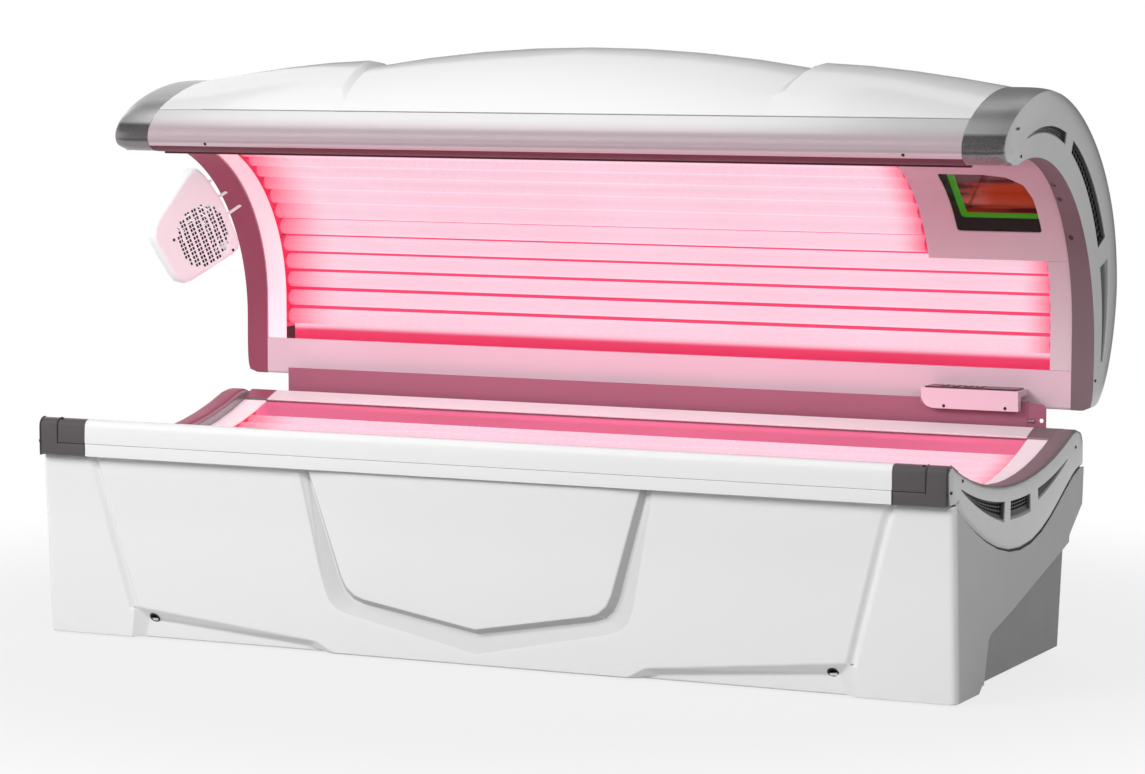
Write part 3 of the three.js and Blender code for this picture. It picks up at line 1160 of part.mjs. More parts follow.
function makeCanopyCap() {
  const line = outerLine();
  const closed = [...line, [SHEET_REAR - LIP_SKIRT_PROUD - CAP_ROUND, SKIRT_Z]].reverse();
  const body = roundedAlongX(closed, CAP_INNER_X - CAP_LENGTH, HALF, CAP_ROUND);
  const hollowAt = (radius, wall) => {
    const low = SKIRT_Z + wall;
    const roof = NOSE_UNDER + 1 + wall;
    const end = 180 - THREE.MathUtils.radToDeg(Math.asin((roof - ARC_Z) / radius));
    const inside = offsetLine(line, -wall).filter(([y, z]) => y > ARC_Y || z > roof);
    return [
      ...inside.map(([y, z]) => [y, Math.max(z, low)]), [ARC_Y + radius, low],
      ...arc(ARC_Y, ARC_Z, radius, 0, end),
    ].reverse();
  };
  const deepRadius = SHEET_RADIUS + CAP_WALL;
  const rounding = CAP_WALL + 0.4 * CAP_ROUND; // wall that keeps the hollow inside the rounded end
  const deep = alongX(hollowAt(deepRadius, CAP_WALL), HALF - END_BAND - 1, HALF - CAP_ROUND);
  const end = alongX(hollowAt(deepRadius, rounding), HALF - CAP_ROUND - 1, HALF - CAP_FACE);
  const openRadius = SHEET_RADIUS - CAP_WALL;
  const open = alongX(hollowAt(openRadius, CAP_WALL), CAP_INNER_X - 2 * CAP_LENGTH, HALF - END_BAND);
  const shorten = box(CAP_INNER_X - 2 * CAP_LENGTH, CAP_INNER_X, -BENCH_DEPTH, 2 * REAR_Y, 0, 2 * ROOF_Z);
  const railSlot = box(CAP_INNER_X - SEAT, HALF - END_BAND, ARC_Y,
    SHEET_REAR + LOWER_RAIL_FLANGE + LOWER_RAIL_WALL, SKIRT_Z - CAP_WALL, LOWER_RAIL_TOP);
  const sheetSlot = box(CAP_INNER_X - SEAT, HALF - END_BAND, sheetFront(), ARC_Y,
    NOSE_UNDER - CAP_WALL, SHEET_TOP + CAP_WALL);
  const vents = CAP_VENTS.map((vent) => alongX(
    taperedSlot(ARC_Y, ARC_Z, SHEET_RADIUS + CAP_VENT_OFFSET, 0, vent), HALF - 2 * CAP_FACE, HALF + SEAT));
  return cut(body, shorten, mouthSolid(0), deep, end, open, railSlot, sheetSlot, ...vents);
}

// The acrylic's front edge
function sheetFront() {
  const angle = THREE.MathUtils.degToRad(SHEET_END_ANGLE);
  return ARC_Y + (LINER_RADIUS + STRIP_WALL) * Math.cos(angle) - SEAT;
}

function makeCanopyFrontRail() {
  const line = [[sheetFront(), NOSE_UNDER], ...outerLine().slice(0, SEAM_INDEX + 1)];
  return alongX(sheetOutline(line, -SHELL_WALL), -CAP_INNER_X + SEAT, CAP_INNER_X - SEAT);
}

function makeCanopyLowerRail() {
  const round = LOWER_RAIL_FLANGE / 2;
  const path = new THREE.Path();
  path.moveTo(SHEET_REAR + LOWER_RAIL_FLANGE, LOWER_RAIL_TOP);
  path.lineTo(SHEET_REAR, LOWER_RAIL_TOP);
  path.lineTo(SHEET_REAR, SKIRT_Z + round);
  path.quadraticCurveTo(SHEET_REAR, SKIRT_Z, SHEET_REAR + round, SKIRT_Z);
  path.lineTo(SHEET_REAR + LOWER_RAIL_FLANGE, SKIRT_Z);
  return alongX(sheetOutline(toPoints(path, CURVE_STEPS / 2), LOWER_RAIL_WALL), -ACRYLIC_HALF, ACRYLIC_HALF);
}

// Crown of the shell above the end sections, by place along the bed
function crownHeight(x) {
  const along = Math.abs(x);
  if (along <= DOME_HALF_LENGTH) {
    return DOME_EDGE_HEIGHT + (DOME_HEIGHT - DOME_EDGE_HEIGHT) * (1 - (along / DOME_HALF_LENGTH) ** 2);
  }
  const share = (along - DOME_HALF_LENGTH - WING_STEP) / (CAP_INNER_X - DOME_HALF_LENGTH - WING_STEP);
  return WING_HEIGHT * (1 - share ** 1.5);
}

// The step between dome and wings leans outwards towards the rear, the ends stay square
function slanted(x, lean) {
  const along = Math.abs(x);
  const share = along <= DOME_HALF_LENGTH
    ? along / DOME_HALF_LENGTH
    : (CAP_INNER_X - SEAT - along) / (CAP_INNER_X - SEAT - DOME_HALF_LENGTH);
  return x + Math.sign(x) * lean * share;
}

function makeCanopyShell() {
  const line = outerLine().slice(SEAM_INDEX);
  line[0] = [line[0][0] + 3 * SEAT, line[0][1] + 2 * SEAT];
  const wing = CAP_INNER_X - SEAT - DOME_HALF_LENGTH - WING_STEP;
  const right = [
    ...[0.25, 0.5, 0.75, 1].map((share) => share * DOME_HALF_LENGTH),
    ...[0, 0.25, 0.5, 0.75, 1].map((share) => DOME_HALF_LENGTH + WING_STEP + share * wing),
  ];
  const stations = [...right.map((x) => -x).reverse(), 0, ...right];
  const rings = stations.map((x) => {
    const raised = line.map(([y, z], i) => {
      const share = Math.min(i / (line.length - 1) / CROWN_END, 1);
      return [y, z + crownHeight(x) * Math.sin(Math.PI * share)];
    });
    const inner = offsetLine(raised, -SHELL_WALL);
    const place = ([y, z], i) => [slanted(x, (WING_SLANT * i) / (line.length - 1)), y, z];
    return [...raised.map(place).reverse(), ...inner.map(place)];
  });
  return skin(rings, triangulate(rings[0].map(([, y, z]) => [y, z])));
}

// Canopy lamps
function canopyPlace(run, radius) {
  const along = run / CANOPY_LAMP_RADIUS;
  return along < 0
    ? [ARC_Y + radius, ARC_Z + run]
    : [ARC_Y + radius * Math.cos(along), ARC_Z + radius * Math.sin(along)];
}

function canopyLampPlaces(first, count) {
  const faceRun = THREE.MathUtils.degToRad(FACE_START_ANGLE) * CANOPY_LAMP_RADIUS;
  const start = faceRun - CANOPY_LONG_LAMPS * LAMP_PITCH;
  return Array.from({ length: count }, (_, i) =>
    canopyPlace(start + (first + i + 0.5) * LAMP_PITCH, CANOPY_LAMP_RADIUS));
}

function lampPlateLow() {
  return canopyLampPlaces(0, 1)[0][1] - LAMP_RADIUS - LAMP_GAP;
}

function canopyReflectorAngle() {
  const [y, z] = canopyLampPlaces(CANOPY_LONG_LAMPS + CANOPY_SHORT_LAMPS - 1, 1)[0];
  const margin = THREE.MathUtils.radToDeg((LAMP_RADIUS + LAMP_GAP) / CANOPY_LAMP_RADIUS);
  return THREE.MathUtils.radToDeg(Math.atan2(z - ARC_Z, y - ARC_Y)) + margin;
}

function makeLongLamps() {
  const wall = CANOPY_REFLECTOR_RADIUS + LAMP_RADIUS - BACKING_RADIUS;
  const points = canopySheet(BACKING_RADIUS, wall, lampPlateLow(), FACE_START_ANGLE - 1);
  return lampBank(canopyLampPlaces(0, CANOPY_LONG_LAMPS), [
    { x: -LAMP_PLATE_X - FRAME_PLATE, points }, { x: LAMP_PLATE_X, points },
  ]);
}

function makeShortLamps() {
  const wall = CANOPY_REFLECTOR_RADIUS + LAMP_RADIUS - BACKING_RADIUS;
  const points = sectorSheet(BACKING_RADIUS, wall, FACE_START_ANGLE, canopyReflectorAngle());
  return lampBank(canopyLampPlaces(CANOPY_LONG_LAMPS, CANOPY_SHORT_LAMPS), [
    { x: -LAMP_PLATE_X - FRAME_PLATE, points }, { x: FACE_PANEL_X + SEAT, points },
  ]);
}

function makeCanopyReflector() {
  const whole = canopySheet(
    CANOPY_REFLECTOR_RADIUS, REFLECTOR_WALL, LOWER_RAIL_TOP - REFLECTOR_TUCK, canopyReflectorAngle());
  const sheet = alongX(whole, -LAMP_PLATE_X + SEAT, LAMP_PLATE_X - SEAT);
  const reach = 2 * CANOPY_REFLECTOR_RADIUS;
  const corner = [[ARC_Y, ARC_Z], ...arc(ARC_Y, ARC_Z, reach, FACE_START_ANGLE - 1, 180 - FACE_START_ANGLE)];
  return cut(sheet, alongX(corner, FACE_PANEL_X, HALF));
}

// Face unit, built square to the canopy's arc and then turned to its place
function facePlace() {
  return new THREE.Matrix4().makeTranslation(FACE_X, ARC_Y, ARC_Z)
    .multiply(new THREE.Matrix4().makeRotationX(THREE.MathUtils.degToRad(FACE_ANGLE)));
}

function faceBlock(grow, from, to) {
  const halfX = FACE_HALF_LENGTH + grow;
  const halfZ = FACE_HALF_HEIGHT + grow;
  const small = FACE_SMALL_CORNER + grow / 2;
  const outline = roundedCorners([
    { y: -halfX, z: -halfZ, round: small }, { y: halfX, z: -halfZ, round: small },
    { y: halfX, z: halfZ, round: FACE_CORNER + grow }, { y: -halfX, z: halfZ, round: small },
  ]);
  return placed(alongY(outline, from, to), facePlace());
}

function makeFacePanel() {
  const panel = alongX(sectorSheet(LINER_RADIUS, STRIP_WALL, FACE_START_ANGLE, SHEET_END_ANGLE),
    FACE_PANEL_X, ACRYLIC_HALF);
  return cut(panel, faceBlock(0, 0, 2 * SHEET_RADIUS));
}

function collarBack() {
  return BACKING_RADIUS + COLLAR_DEPTH;
}

function makeFaceCollar() {
  const body = faceBlock(COLLAR_WALL, SHEET_RADIUS / 2, collarBack());
  const front = faceBlock(0, 0, collarBack() - COLLAR_LEDGE);
  const back = faceBlock(-COLLAR_LEDGE, 0, 2 * collarBack());
  const drum = alongX(circle(ARC_Y, ARC_Z, BACKING_RADIUS / Math.cos(Math.PI / 64), 64), 0, HALF);
  return cut(body, front, back, drum);
}

function makeFaceFilter() {
  const back = collarBack() - COLLAR_LEDGE - SEAT;
  return faceBlock(-SEAT, back - FILTER_WALL, back);
}

function makeFaceLampUnit() {
  const front = collarBack() + SEAT;
  const back = front + FACE_TRAY_DEPTH;
  const body = faceBlock(0, front, back);
  const hollow = faceBlock(-FACE_TRAY_WALL, 0, back - FACE_TRAY_WALL);
  const pitch = (2 * FACE_HALF_HEIGHT) / FACE_LAMPS;
  const lamps = Array.from({ length: FACE_LAMPS }, (_, i) => placed(alongX(
    circle(front + FACE_TRAY_DEPTH / 2, (i - (FACE_LAMPS - 1) / 2) * pitch, FACE_LAMP_RADIUS, LAMP_SIDES),
    -FACE_HALF_LENGTH + SEAT, FACE_HALF_LENGTH - SEAT), facePlace()));
  return join(cut(body, hollow), ...lamps);
}

// Control unit: a block on the lower rail with a lip that hangs in front of the shroud
function controlTop() {
  return HINGE_Z + CONTROL_TOP_ABOVE_HINGE;
}

function buttonPlaces() {
  const left = CONTROL_X - CONTROL_LENGTH / 2 + PLATE_MARGIN;
  return BUTTON_NAMES.map((name, i) => (
    { name, x: left + BUTTON_FIRST + i * BUTTON_PITCH, y: controlMiddle() }));
}

function controlMiddle() {
  return SHEET_REAR - SEAT - CONTROL_REACH / 2;
}

function aroundButton(button, grow, low, high) {
  return box(button.x - BUTTON_LENGTH / 2 - grow, button.x + BUTTON_LENGTH / 2 + grow,
    button.y - BUTTON_WIDTH / 2 - grow, button.y + BUTTON_WIDTH / 2 + grow, low, high);
}

function makeControlHousing() {
  const left = CONTROL_X - CONTROL_LENGTH / 2;
  const right = CONTROL_X + CONTROL_LENGTH / 2;
  const top = controlTop();
  const low = top - CONTROL_HEIGHT;
  const front = SHEET_REAR - SEAT - CONTROL_REACH;
  const face = new THREE.Path();
  face.moveTo(left, top);
  face.lineTo(left, low + CONTROL_CORNER);
  face.quadraticCurveTo(left, low, left + CONTROL_CORNER, low);
  face.lineTo(right, low);
  face.lineTo(right, top);
  const lip = alongY(toPoints(face), front, front + CONTROL_LIP);
  const block = box(left, right, front + 1, SHEET_REAR - SEAT, top - CONTROL_TOP_BLOCK, top);
  const pockets = buttonPlaces().map((button) => (
    aroundButton(button, SEAT, top - BUTTON_POCKET, top + SEAT)));
  return cut(join(lip, block), ...pockets);
}

function makeControlPlate() {
  const half = CONTROL_LENGTH / 2 - PLATE_MARGIN;
  const depth = CONTROL_REACH / 2 - PLATE_MARGIN;
  const low = controlTop() + SEAT;
  const plate = box(CONTROL_X - half, CONTROL_X + half, controlMiddle() - depth, controlMiddle() + depth,
    low, low + PLATE_WALL);
  return cut(plate, ...buttonPlaces().map((button) => aroundButton(button, SEAT, 0, 2 * low)));
}

function makeButton(button) {
  const top = controlTop() + SEAT + PLATE_WALL + BUTTON_PROUD;
  return aroundButton(button, -SEAT, controlTop() - BUTTON_SINK, top);
}

// Body fan, built facing +X about its own origin and then turned to its place
function fanPlace() {
  const [y, z] = arc(ARC_Y, ARC_Z, SHEET_RADIUS - FAN_SHEET_GAP, FAN_ARC_ANGLE, FAN_ARC_ANGLE, 1)[0];
  return new THREE.Matrix4().makeTranslation(FAN_INSET - HALF, y, z)
    .multiply(new THREE.Matrix4().makeRotationZ(-THREE.MathUtils.degToRad(FAN_TURN)));
}

function fanOutline() {
  const corners = FAN_CORNERS.map(({ y, z, round }) => (
    { y: y * FAN_SPAN, z: z * FAN_SPAN, round: round * FAN_SPAN }));
  return roundedCorners(corners.reverse());
}

function grillePlace() {
  const shift = new THREE.Matrix4().makeTranslation(-FAN_GRILLE_WALL, FAN_GRILLE_Y, FAN_GRILLE_Z);
  return fanPlace().multiply(shift).multiply(ALONG_X);
}

function makeFanHousing() {
  const outline = fanOutline();
  const body = roundedAlongX(outline, -FAN_DEPTH, 0, FAN_ROUND);
  const inner = inset(outline, FAN_ROUND + FAN_WALL);
  const hollow = alongX(inner, -FAN_DEPTH + FAN_WALL, -FAN_GRILLE_WALL - FAN_WALL);
  const opening = alongX(circle(FAN_GRILLE_Y, FAN_GRILLE_Z, FAN_GRILLE_RADIUS, 32), -FAN_DEPTH / 2, SEAT);
  const intake = [1, 2, 3].map((i) => alongX(sectorRing(FAN_GRILLE_RADIUS * (0.25 + 0.2 * i), FAN_SLOT_RIB),
    -FAN_DEPTH - SEAT, -FAN_DEPTH + FAN_WALL + SEAT));
  const hub = (radius, sides) => circle(FAN_GRILLE_Y, FAN_GRILLE_Z, radius, sides);
  const boss = alongX(hub(3 * SHAFT_RADIUS, 14), -FAN_DEPTH + FAN_WALL / 2, -0.6 * FAN_DEPTH);
  const bore = alongX(hub(SHAFT_RADIUS + SEAT, 10), -FAN_DEPTH + FAN_WALL, 0);
  const shell = cut(join(cut(body, hollow, opening), boss), bore, ...intake);
  const toFoot = mirrored(mouthSolid(SEAT));
  const studs = FAN_STUDS.map(([y, z]) => {
    const run = [0, FAN_STUD_LENGTH].map((along) => (
      [-FAN_DEPTH / 2, y * FAN_SPAN + along * 0.89, z * FAN_SPAN + along * 0.456]));
    return common(placed(sweep(run, FAN_STUD_RADIUS, 8), fanPlace()), toFoot);
  });
  return join(placed(shell, fanPlace()), ...studs);
}

function sectorRing(radius, width) {
  const inner = arc(FAN_GRILLE_Y, FAN_GRILLE_Z, radius, -50, 230, 2 * CURVE_STEPS);
  return [...offsetLine(inner, -width), ...inner.reverse()];
}

function makeFanGrille() {
  const disc = weld(extrude(circle(0, 0, FAN_GRILLE_RADIUS - SEAT, 32), FAN_GRILLE_WALL));
  const reach = FAN_GRILLE_RADIUS - FAN_SLOT_WIDTH;
  const slots = [];
  for (let column = 0; column < FAN_SLOT_COLUMNS; column += 1) {
    const x = (column - (FAN_SLOT_COLUMNS - 1) / 2) * FAN_SLOT_PITCH;
    const tall = Math.sqrt(reach ** 2 - x ** 2);
    const count = Math.max(1, Math.floor((2 * tall + FAN_SLOT_RIB) / (FAN_SLOT_LENGTH + FAN_SLOT_RIB)));
    for (let row = 0; row < count; row += 1) {
      const y = (row - (count - 1) / 2) * (FAN_SLOT_LENGTH + FAN_SLOT_RIB);
      slots.push(box(x - FAN_SLOT_WIDTH / 2, x + FAN_SLOT_WIDTH / 2,
        y - FAN_SLOT_LENGTH / 2, y + FAN_SLOT_LENGTH / 2, -FAN_GRILLE_WALL, 2 * FAN_GRILLE_WALL));
    }
  }
  return placed(cut(disc, ...slots).rotateZ(THREE.MathUtils.degToRad(FAN_GRILLE_TILT)), grillePlace());
}

function makeFanRotor() {
  const depth = FAN_DEPTH * 0.4;
  const wheel = fanWheel(FAN_ROTOR_RADIUS, FAN_ROTOR_RADIUS / 3.4, depth, FAN_DEPTH * 0.5);
  return placed(wheel.translate(0, 0, -FAN_DEPTH * 0.3), grillePlace());
}

// Bench
addPiece(bench, "bench_chassis", "steel", makeChassis());
addPiece(bench, "front_panel", "gloss_white", makeFrontPanel());
addPiece(bench, "rear_panel", "panel_grey", makeRearPanel());
addPair(bench, "end_panel", "panel_grey", makeEndPanel());
addPair(bench, "end_cover", "silver_grey", makeEndCover());
const railHalf = HALF - CORNER_CAP_LENGTH;
addPiece(bench, "front_rail", "gloss_white",
  alongX(sheetOutline(railLine(), RAIL_WALL), -railHalf, railHalf));
addPiece(bench, "front_trim", "gloss_white",
  alongX(sheetOutline(trimLine(), RAIL_WALL), -railHalf, railHalf));
addPair(bench, "corner_cap", "dark_grey", makeCornerCap());
addPair(bench, "rail_plug", "dark_grey", makeRailPlug());
const rearHalf = HALF - END_BAND - REAR_RAIL_END_GAP;
addPiece(bench, "rear_rail", "matt_white", alongX(rearRailOutline(), -rearHalf, rearHalf));
addPiece(bench, "bench_acrylic", "acrylic",
  alongX(lieSheet(ACRYLIC_RADIUS, ACRYLIC_WALL, ...lieSpan()), -ACRYLIC_HALF, ACRYLIC_HALF));
const stripOutline = lieSheet(ACRYLIC_RADIUS + ACRYLIC_WALL + SEAT, STRIP_WALL, ...lieSpan());
addPair(bench, "bench_strip", "matt_white", alongX(stripOutline, ACRYLIC_HALF - STRIP_WIDTH, ACRYLIC_HALF));
addPiece(bench, "bench_lamps", "lamp_glass", makeBenchLamps());
addPiece(bench, "bench_reflector", "reflector", makeBenchReflector());
addPiece(bench, "ballast_tray", "zinc", makeBallastTray());
addPiece(bench, "cooling_fan_frame", "black_plastic", makeCoolerFrame());
addPiece(bench, "cooling_fan_rotor", "black_plastic", makeCoolerRotor());
addPiece(bench, "hinge_shroud", "shroud_grey", makeHingeShroud());
addPiece(bench, "cable_bracket", "shroud_grey", makeCableBracket());
addPair(bench, "hinge_bracket", "steel", makeHingeBracket());
addPair(bench, "hinge_pin", "zinc", makeHingePin());
addPair(bench, "hinge_spring", "zinc", makeHingeSpring());
for (const [end, x] of [["left", FOOT_INSET - HALF], ["right", HALF - FOOT_INSET]]) {
  addPiece(bench, `front_${end}_foot`, "rubber", makeFoot(x, FRAME_FRONT + ANGLE_SIZE / 2));
  addPiece(bench, `rear_${end}_foot`, "rubber", makeFoot(x, FRAME_REAR - ANGLE_SIZE / 2));
}

// Canopy
addPiece(canopy, "canopy_shell", "gloss_white", makeCanopyShell());
addPair(canopy, "canopy_cap", "silver_grey", makeCanopyCap());
addPiece(canopy, "canopy_front_rail", "gloss_white", makeCanopyFrontRail());
addPiece(canopy, "canopy_lower_rail", "matt_white", makeCanopyLowerRail());
const sheetLow = LOWER_RAIL_TOP + SEAT;
addPiece(canopy, "canopy_acrylic", "acrylic",
  alongX(canopySheet(SHEET_RADIUS, ACRYLIC_WALL, sheetLow, SHEET_END_ANGLE), -ACRYLIC_HALF, ACRYLIC_HALF));
addPiece(canopy, "canopy_reflector", "reflector", makeCanopyReflector());
const stripEdge = LAMP_PLATE_X - FRAME_PLATE;
addPiece(canopy, "left_canopy_strip", "matt_white",
  alongX(canopySheet(LINER_RADIUS, STRIP_WALL, sheetLow, SHEET_END_ANGLE), -ACRYLIC_HALF, -stripEdge));
addPiece(canopy, "right_canopy_strip", "matt_white",
  alongX(canopySheet(LINER_RADIUS, STRIP_WALL, sheetLow, FACE_START_ANGLE - 0.1), stripEdge, ACRYLIC_HALF));
addPiece(canopy, "canopy_long_lamps", "lamp_glass", makeLongLamps());
addPiece(canopy, "canopy_short_lamps", "lamp_glass", makeShortLamps());
addPiece(canopy, "face_panel", "matt_white", makeFacePanel());
addPiece(canopy, "face_collar", "black_plastic", makeFaceCollar());
addPiece(canopy, "face_filter", "amber_glass", makeFaceFilter());
addPiece(canopy, "face_lamp_unit", "reflector", makeFaceLampUnit());
addPiece(canopy, "control_housing", "matt_white", makeControlHousing());
addPiece(canopy, "control_plate", "smoked_plate", makeControlPlate());
for (const button of buttonPlaces()) {
  addPiece(canopy, button.name, "matt_white", makeButton(button));
}
addPair(canopy, "hinge_arm", "steel", makeHingeArm());
addPiece(canopy, "body_fan_housing", "matt_white", makeFanHousing());
addPiece(canopy, "body_fan_grille", "matt_white", makeFanGrille());
addPiece(canopy, "body_fan_rotor", "black_plastic", makeFanRotor());

// The origin is on the floor under the middle of the whole bed
const bed = new THREE.Group();
bed.add(bench, canopy);
const extent = new THREE.Box3().setFromObject(bed);
bed.position.set(-(extent.min.x + extent.max.x) / 2, -(extent.min.y + extent.max.y) / 2, -extent.min.z);

export default bed;
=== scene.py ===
"""Dresses the clamshell tanning bed: softened skins, lit lamps, clear sheets and fittings, in a studio."""

import json
import logging
import math
from collections.abc import Callable, Iterator, Sequence
from contextlib import contextmanager
from dataclasses import dataclass
from enum import Enum
from typing import Any

import bpy
from mathutils import Matrix, Vector
from mathutils.bvhtree import BVHTree

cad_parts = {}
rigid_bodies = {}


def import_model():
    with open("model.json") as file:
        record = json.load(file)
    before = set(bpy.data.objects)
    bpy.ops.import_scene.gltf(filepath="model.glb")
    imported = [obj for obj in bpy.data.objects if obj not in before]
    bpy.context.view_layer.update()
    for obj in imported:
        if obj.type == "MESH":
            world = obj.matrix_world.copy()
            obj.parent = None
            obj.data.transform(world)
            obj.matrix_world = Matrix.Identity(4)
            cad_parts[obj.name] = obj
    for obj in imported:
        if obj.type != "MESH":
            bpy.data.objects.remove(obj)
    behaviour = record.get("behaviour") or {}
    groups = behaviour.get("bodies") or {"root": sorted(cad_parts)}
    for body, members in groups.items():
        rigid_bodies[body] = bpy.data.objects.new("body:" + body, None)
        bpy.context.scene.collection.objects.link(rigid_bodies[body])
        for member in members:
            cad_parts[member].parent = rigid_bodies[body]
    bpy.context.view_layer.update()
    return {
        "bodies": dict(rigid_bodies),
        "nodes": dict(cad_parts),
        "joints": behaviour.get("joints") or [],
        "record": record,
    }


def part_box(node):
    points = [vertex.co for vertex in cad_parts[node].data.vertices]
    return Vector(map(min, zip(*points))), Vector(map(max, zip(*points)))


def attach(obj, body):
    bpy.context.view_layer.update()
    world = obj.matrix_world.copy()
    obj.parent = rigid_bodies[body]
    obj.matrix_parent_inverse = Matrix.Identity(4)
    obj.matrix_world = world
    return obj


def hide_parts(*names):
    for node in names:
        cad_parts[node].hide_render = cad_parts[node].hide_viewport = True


LOG = logging.getLogger("tanning_bed")
Colour = tuple[float, float, float]
Point = tuple[float, float, float]
Span = tuple[float, float]
ENDS = ((-1, "left"), (1, "right"))
ALONG = Vector((1.0, 0.0, 0.0))
BACK = Vector((0.0, 1.0, 0.0))
UP = Vector((0.0, 0.0, 1.0))


class Slot(Enum):
    """Material slots of the record."""

    GLOSS_WHITE = "gloss_white"
    SILVER_GREY = "silver_grey"
    DARK_GREY = "dark_grey"
    PANEL_GREY = "panel_grey"
    SHROUD_GREY = "shroud_grey"
    MATT_WHITE = "matt_white"
    ACRYLIC = "acrylic"
    LAMP_GLASS = "lamp_glass"
    REFLECTOR = "reflector"
    STEEL = "steel"
    ZINC = "zinc"
    BALLAST = "ballast"
    BLACK_PLASTIC = "black_plastic"
    RUBBER = "rubber"
    AMBER_GLASS = "amber_glass"
    SMOKED_PLATE = "smoked_plate"


class Shape(Enum):
    """Primitives that pieces start from."""

    CUBE = "cube"
    CYLINDER = "cylinder"
    GRID = "grid"
    PLANE = "plane"


@dataclass(frozen=True)
class BedPlan:
    """Main places of the bed, in metres."""

    middle_x: float = 0.0447
    half: float = 1.1
    arc_y: float = -0.0195
    arc_z: float = 0.71166
    lie_y: float = -0.1405
    lie_z: float = 1.52194
    lamp_radius: float = 0.019
    lamp_pitch: float = 0.0463
    lamp_half: float = 1.006
    fan_normal: Point = (0.91706, -0.398749, 0.0)

    def end_x(self, side: int) -> float:
        """X of the bed's end on one side, -1 for the foot end and 1 for the head end."""
        return self.middle_x + side * self.half

    def lamp_span(self) -> Span:
        """X of both ends of the long lamps."""
        return self.middle_x - self.lamp_half, self.middle_x + self.lamp_half


PLAN = BedPlan()


def scaled(colour: Colour, factor: float) -> Colour:
    """A colour times a factor, at most 1."""
    red, green, blue = (min(1.0, value * factor) for value in colour)
    return red, green, blue


class Wire:
    """A socket of a material, with operators that add Math nodes."""

    def __init__(self, shader: "Shader", socket: bpy.types.NodeSocket) -> None:
        """Wraps an output socket.

        Args:
            shader: The material that the socket belongs to.
            socket: The output socket.
        """
        self.shader = shader
        self.socket = socket

    def _math(self, operation: str, first: Any, second: Any = 0.0) -> "Wire":
        """Adds one Math node and returns its value."""
        return self.shader.node("ShaderNodeMath", {"operation": operation}, {0: first, 1: second})

    def __add__(self, other: Any) -> "Wire":
        """Sum."""
        return self._math("ADD", self, other)

    __radd__ = __add__

    def __sub__(self, other: Any) -> "Wire":
        """Difference."""
        return self._math("SUBTRACT", self, other)

    def __rsub__(self, other: Any) -> "Wire":
        """Difference, the other way round."""
        return self._math("SUBTRACT", other, self)

    def __mul__(self, other: Any) -> "Wire":
        """Product."""
        return self._math("MULTIPLY", self, other)

    __rmul__ = __mul__

    def __abs__(self) -> "Wire":
        """Size without its sign."""
        return self._math("ABSOLUTE", self)

    def least(self, other: Any) -> "Wire":
        """The smaller of two values."""
        return self._math("MINIMUM", self, other)

    def ramp(self, low: float, high: float) -> "Wire":
        """A soft step from 0 at low to 1 at high."""
        sockets = {"Value": self, "From Min": low, "From Max": high}
        return self.shader.node("ShaderNodeMapRange", {"interpolation_type": "SMOOTHSTEP"}, sockets)


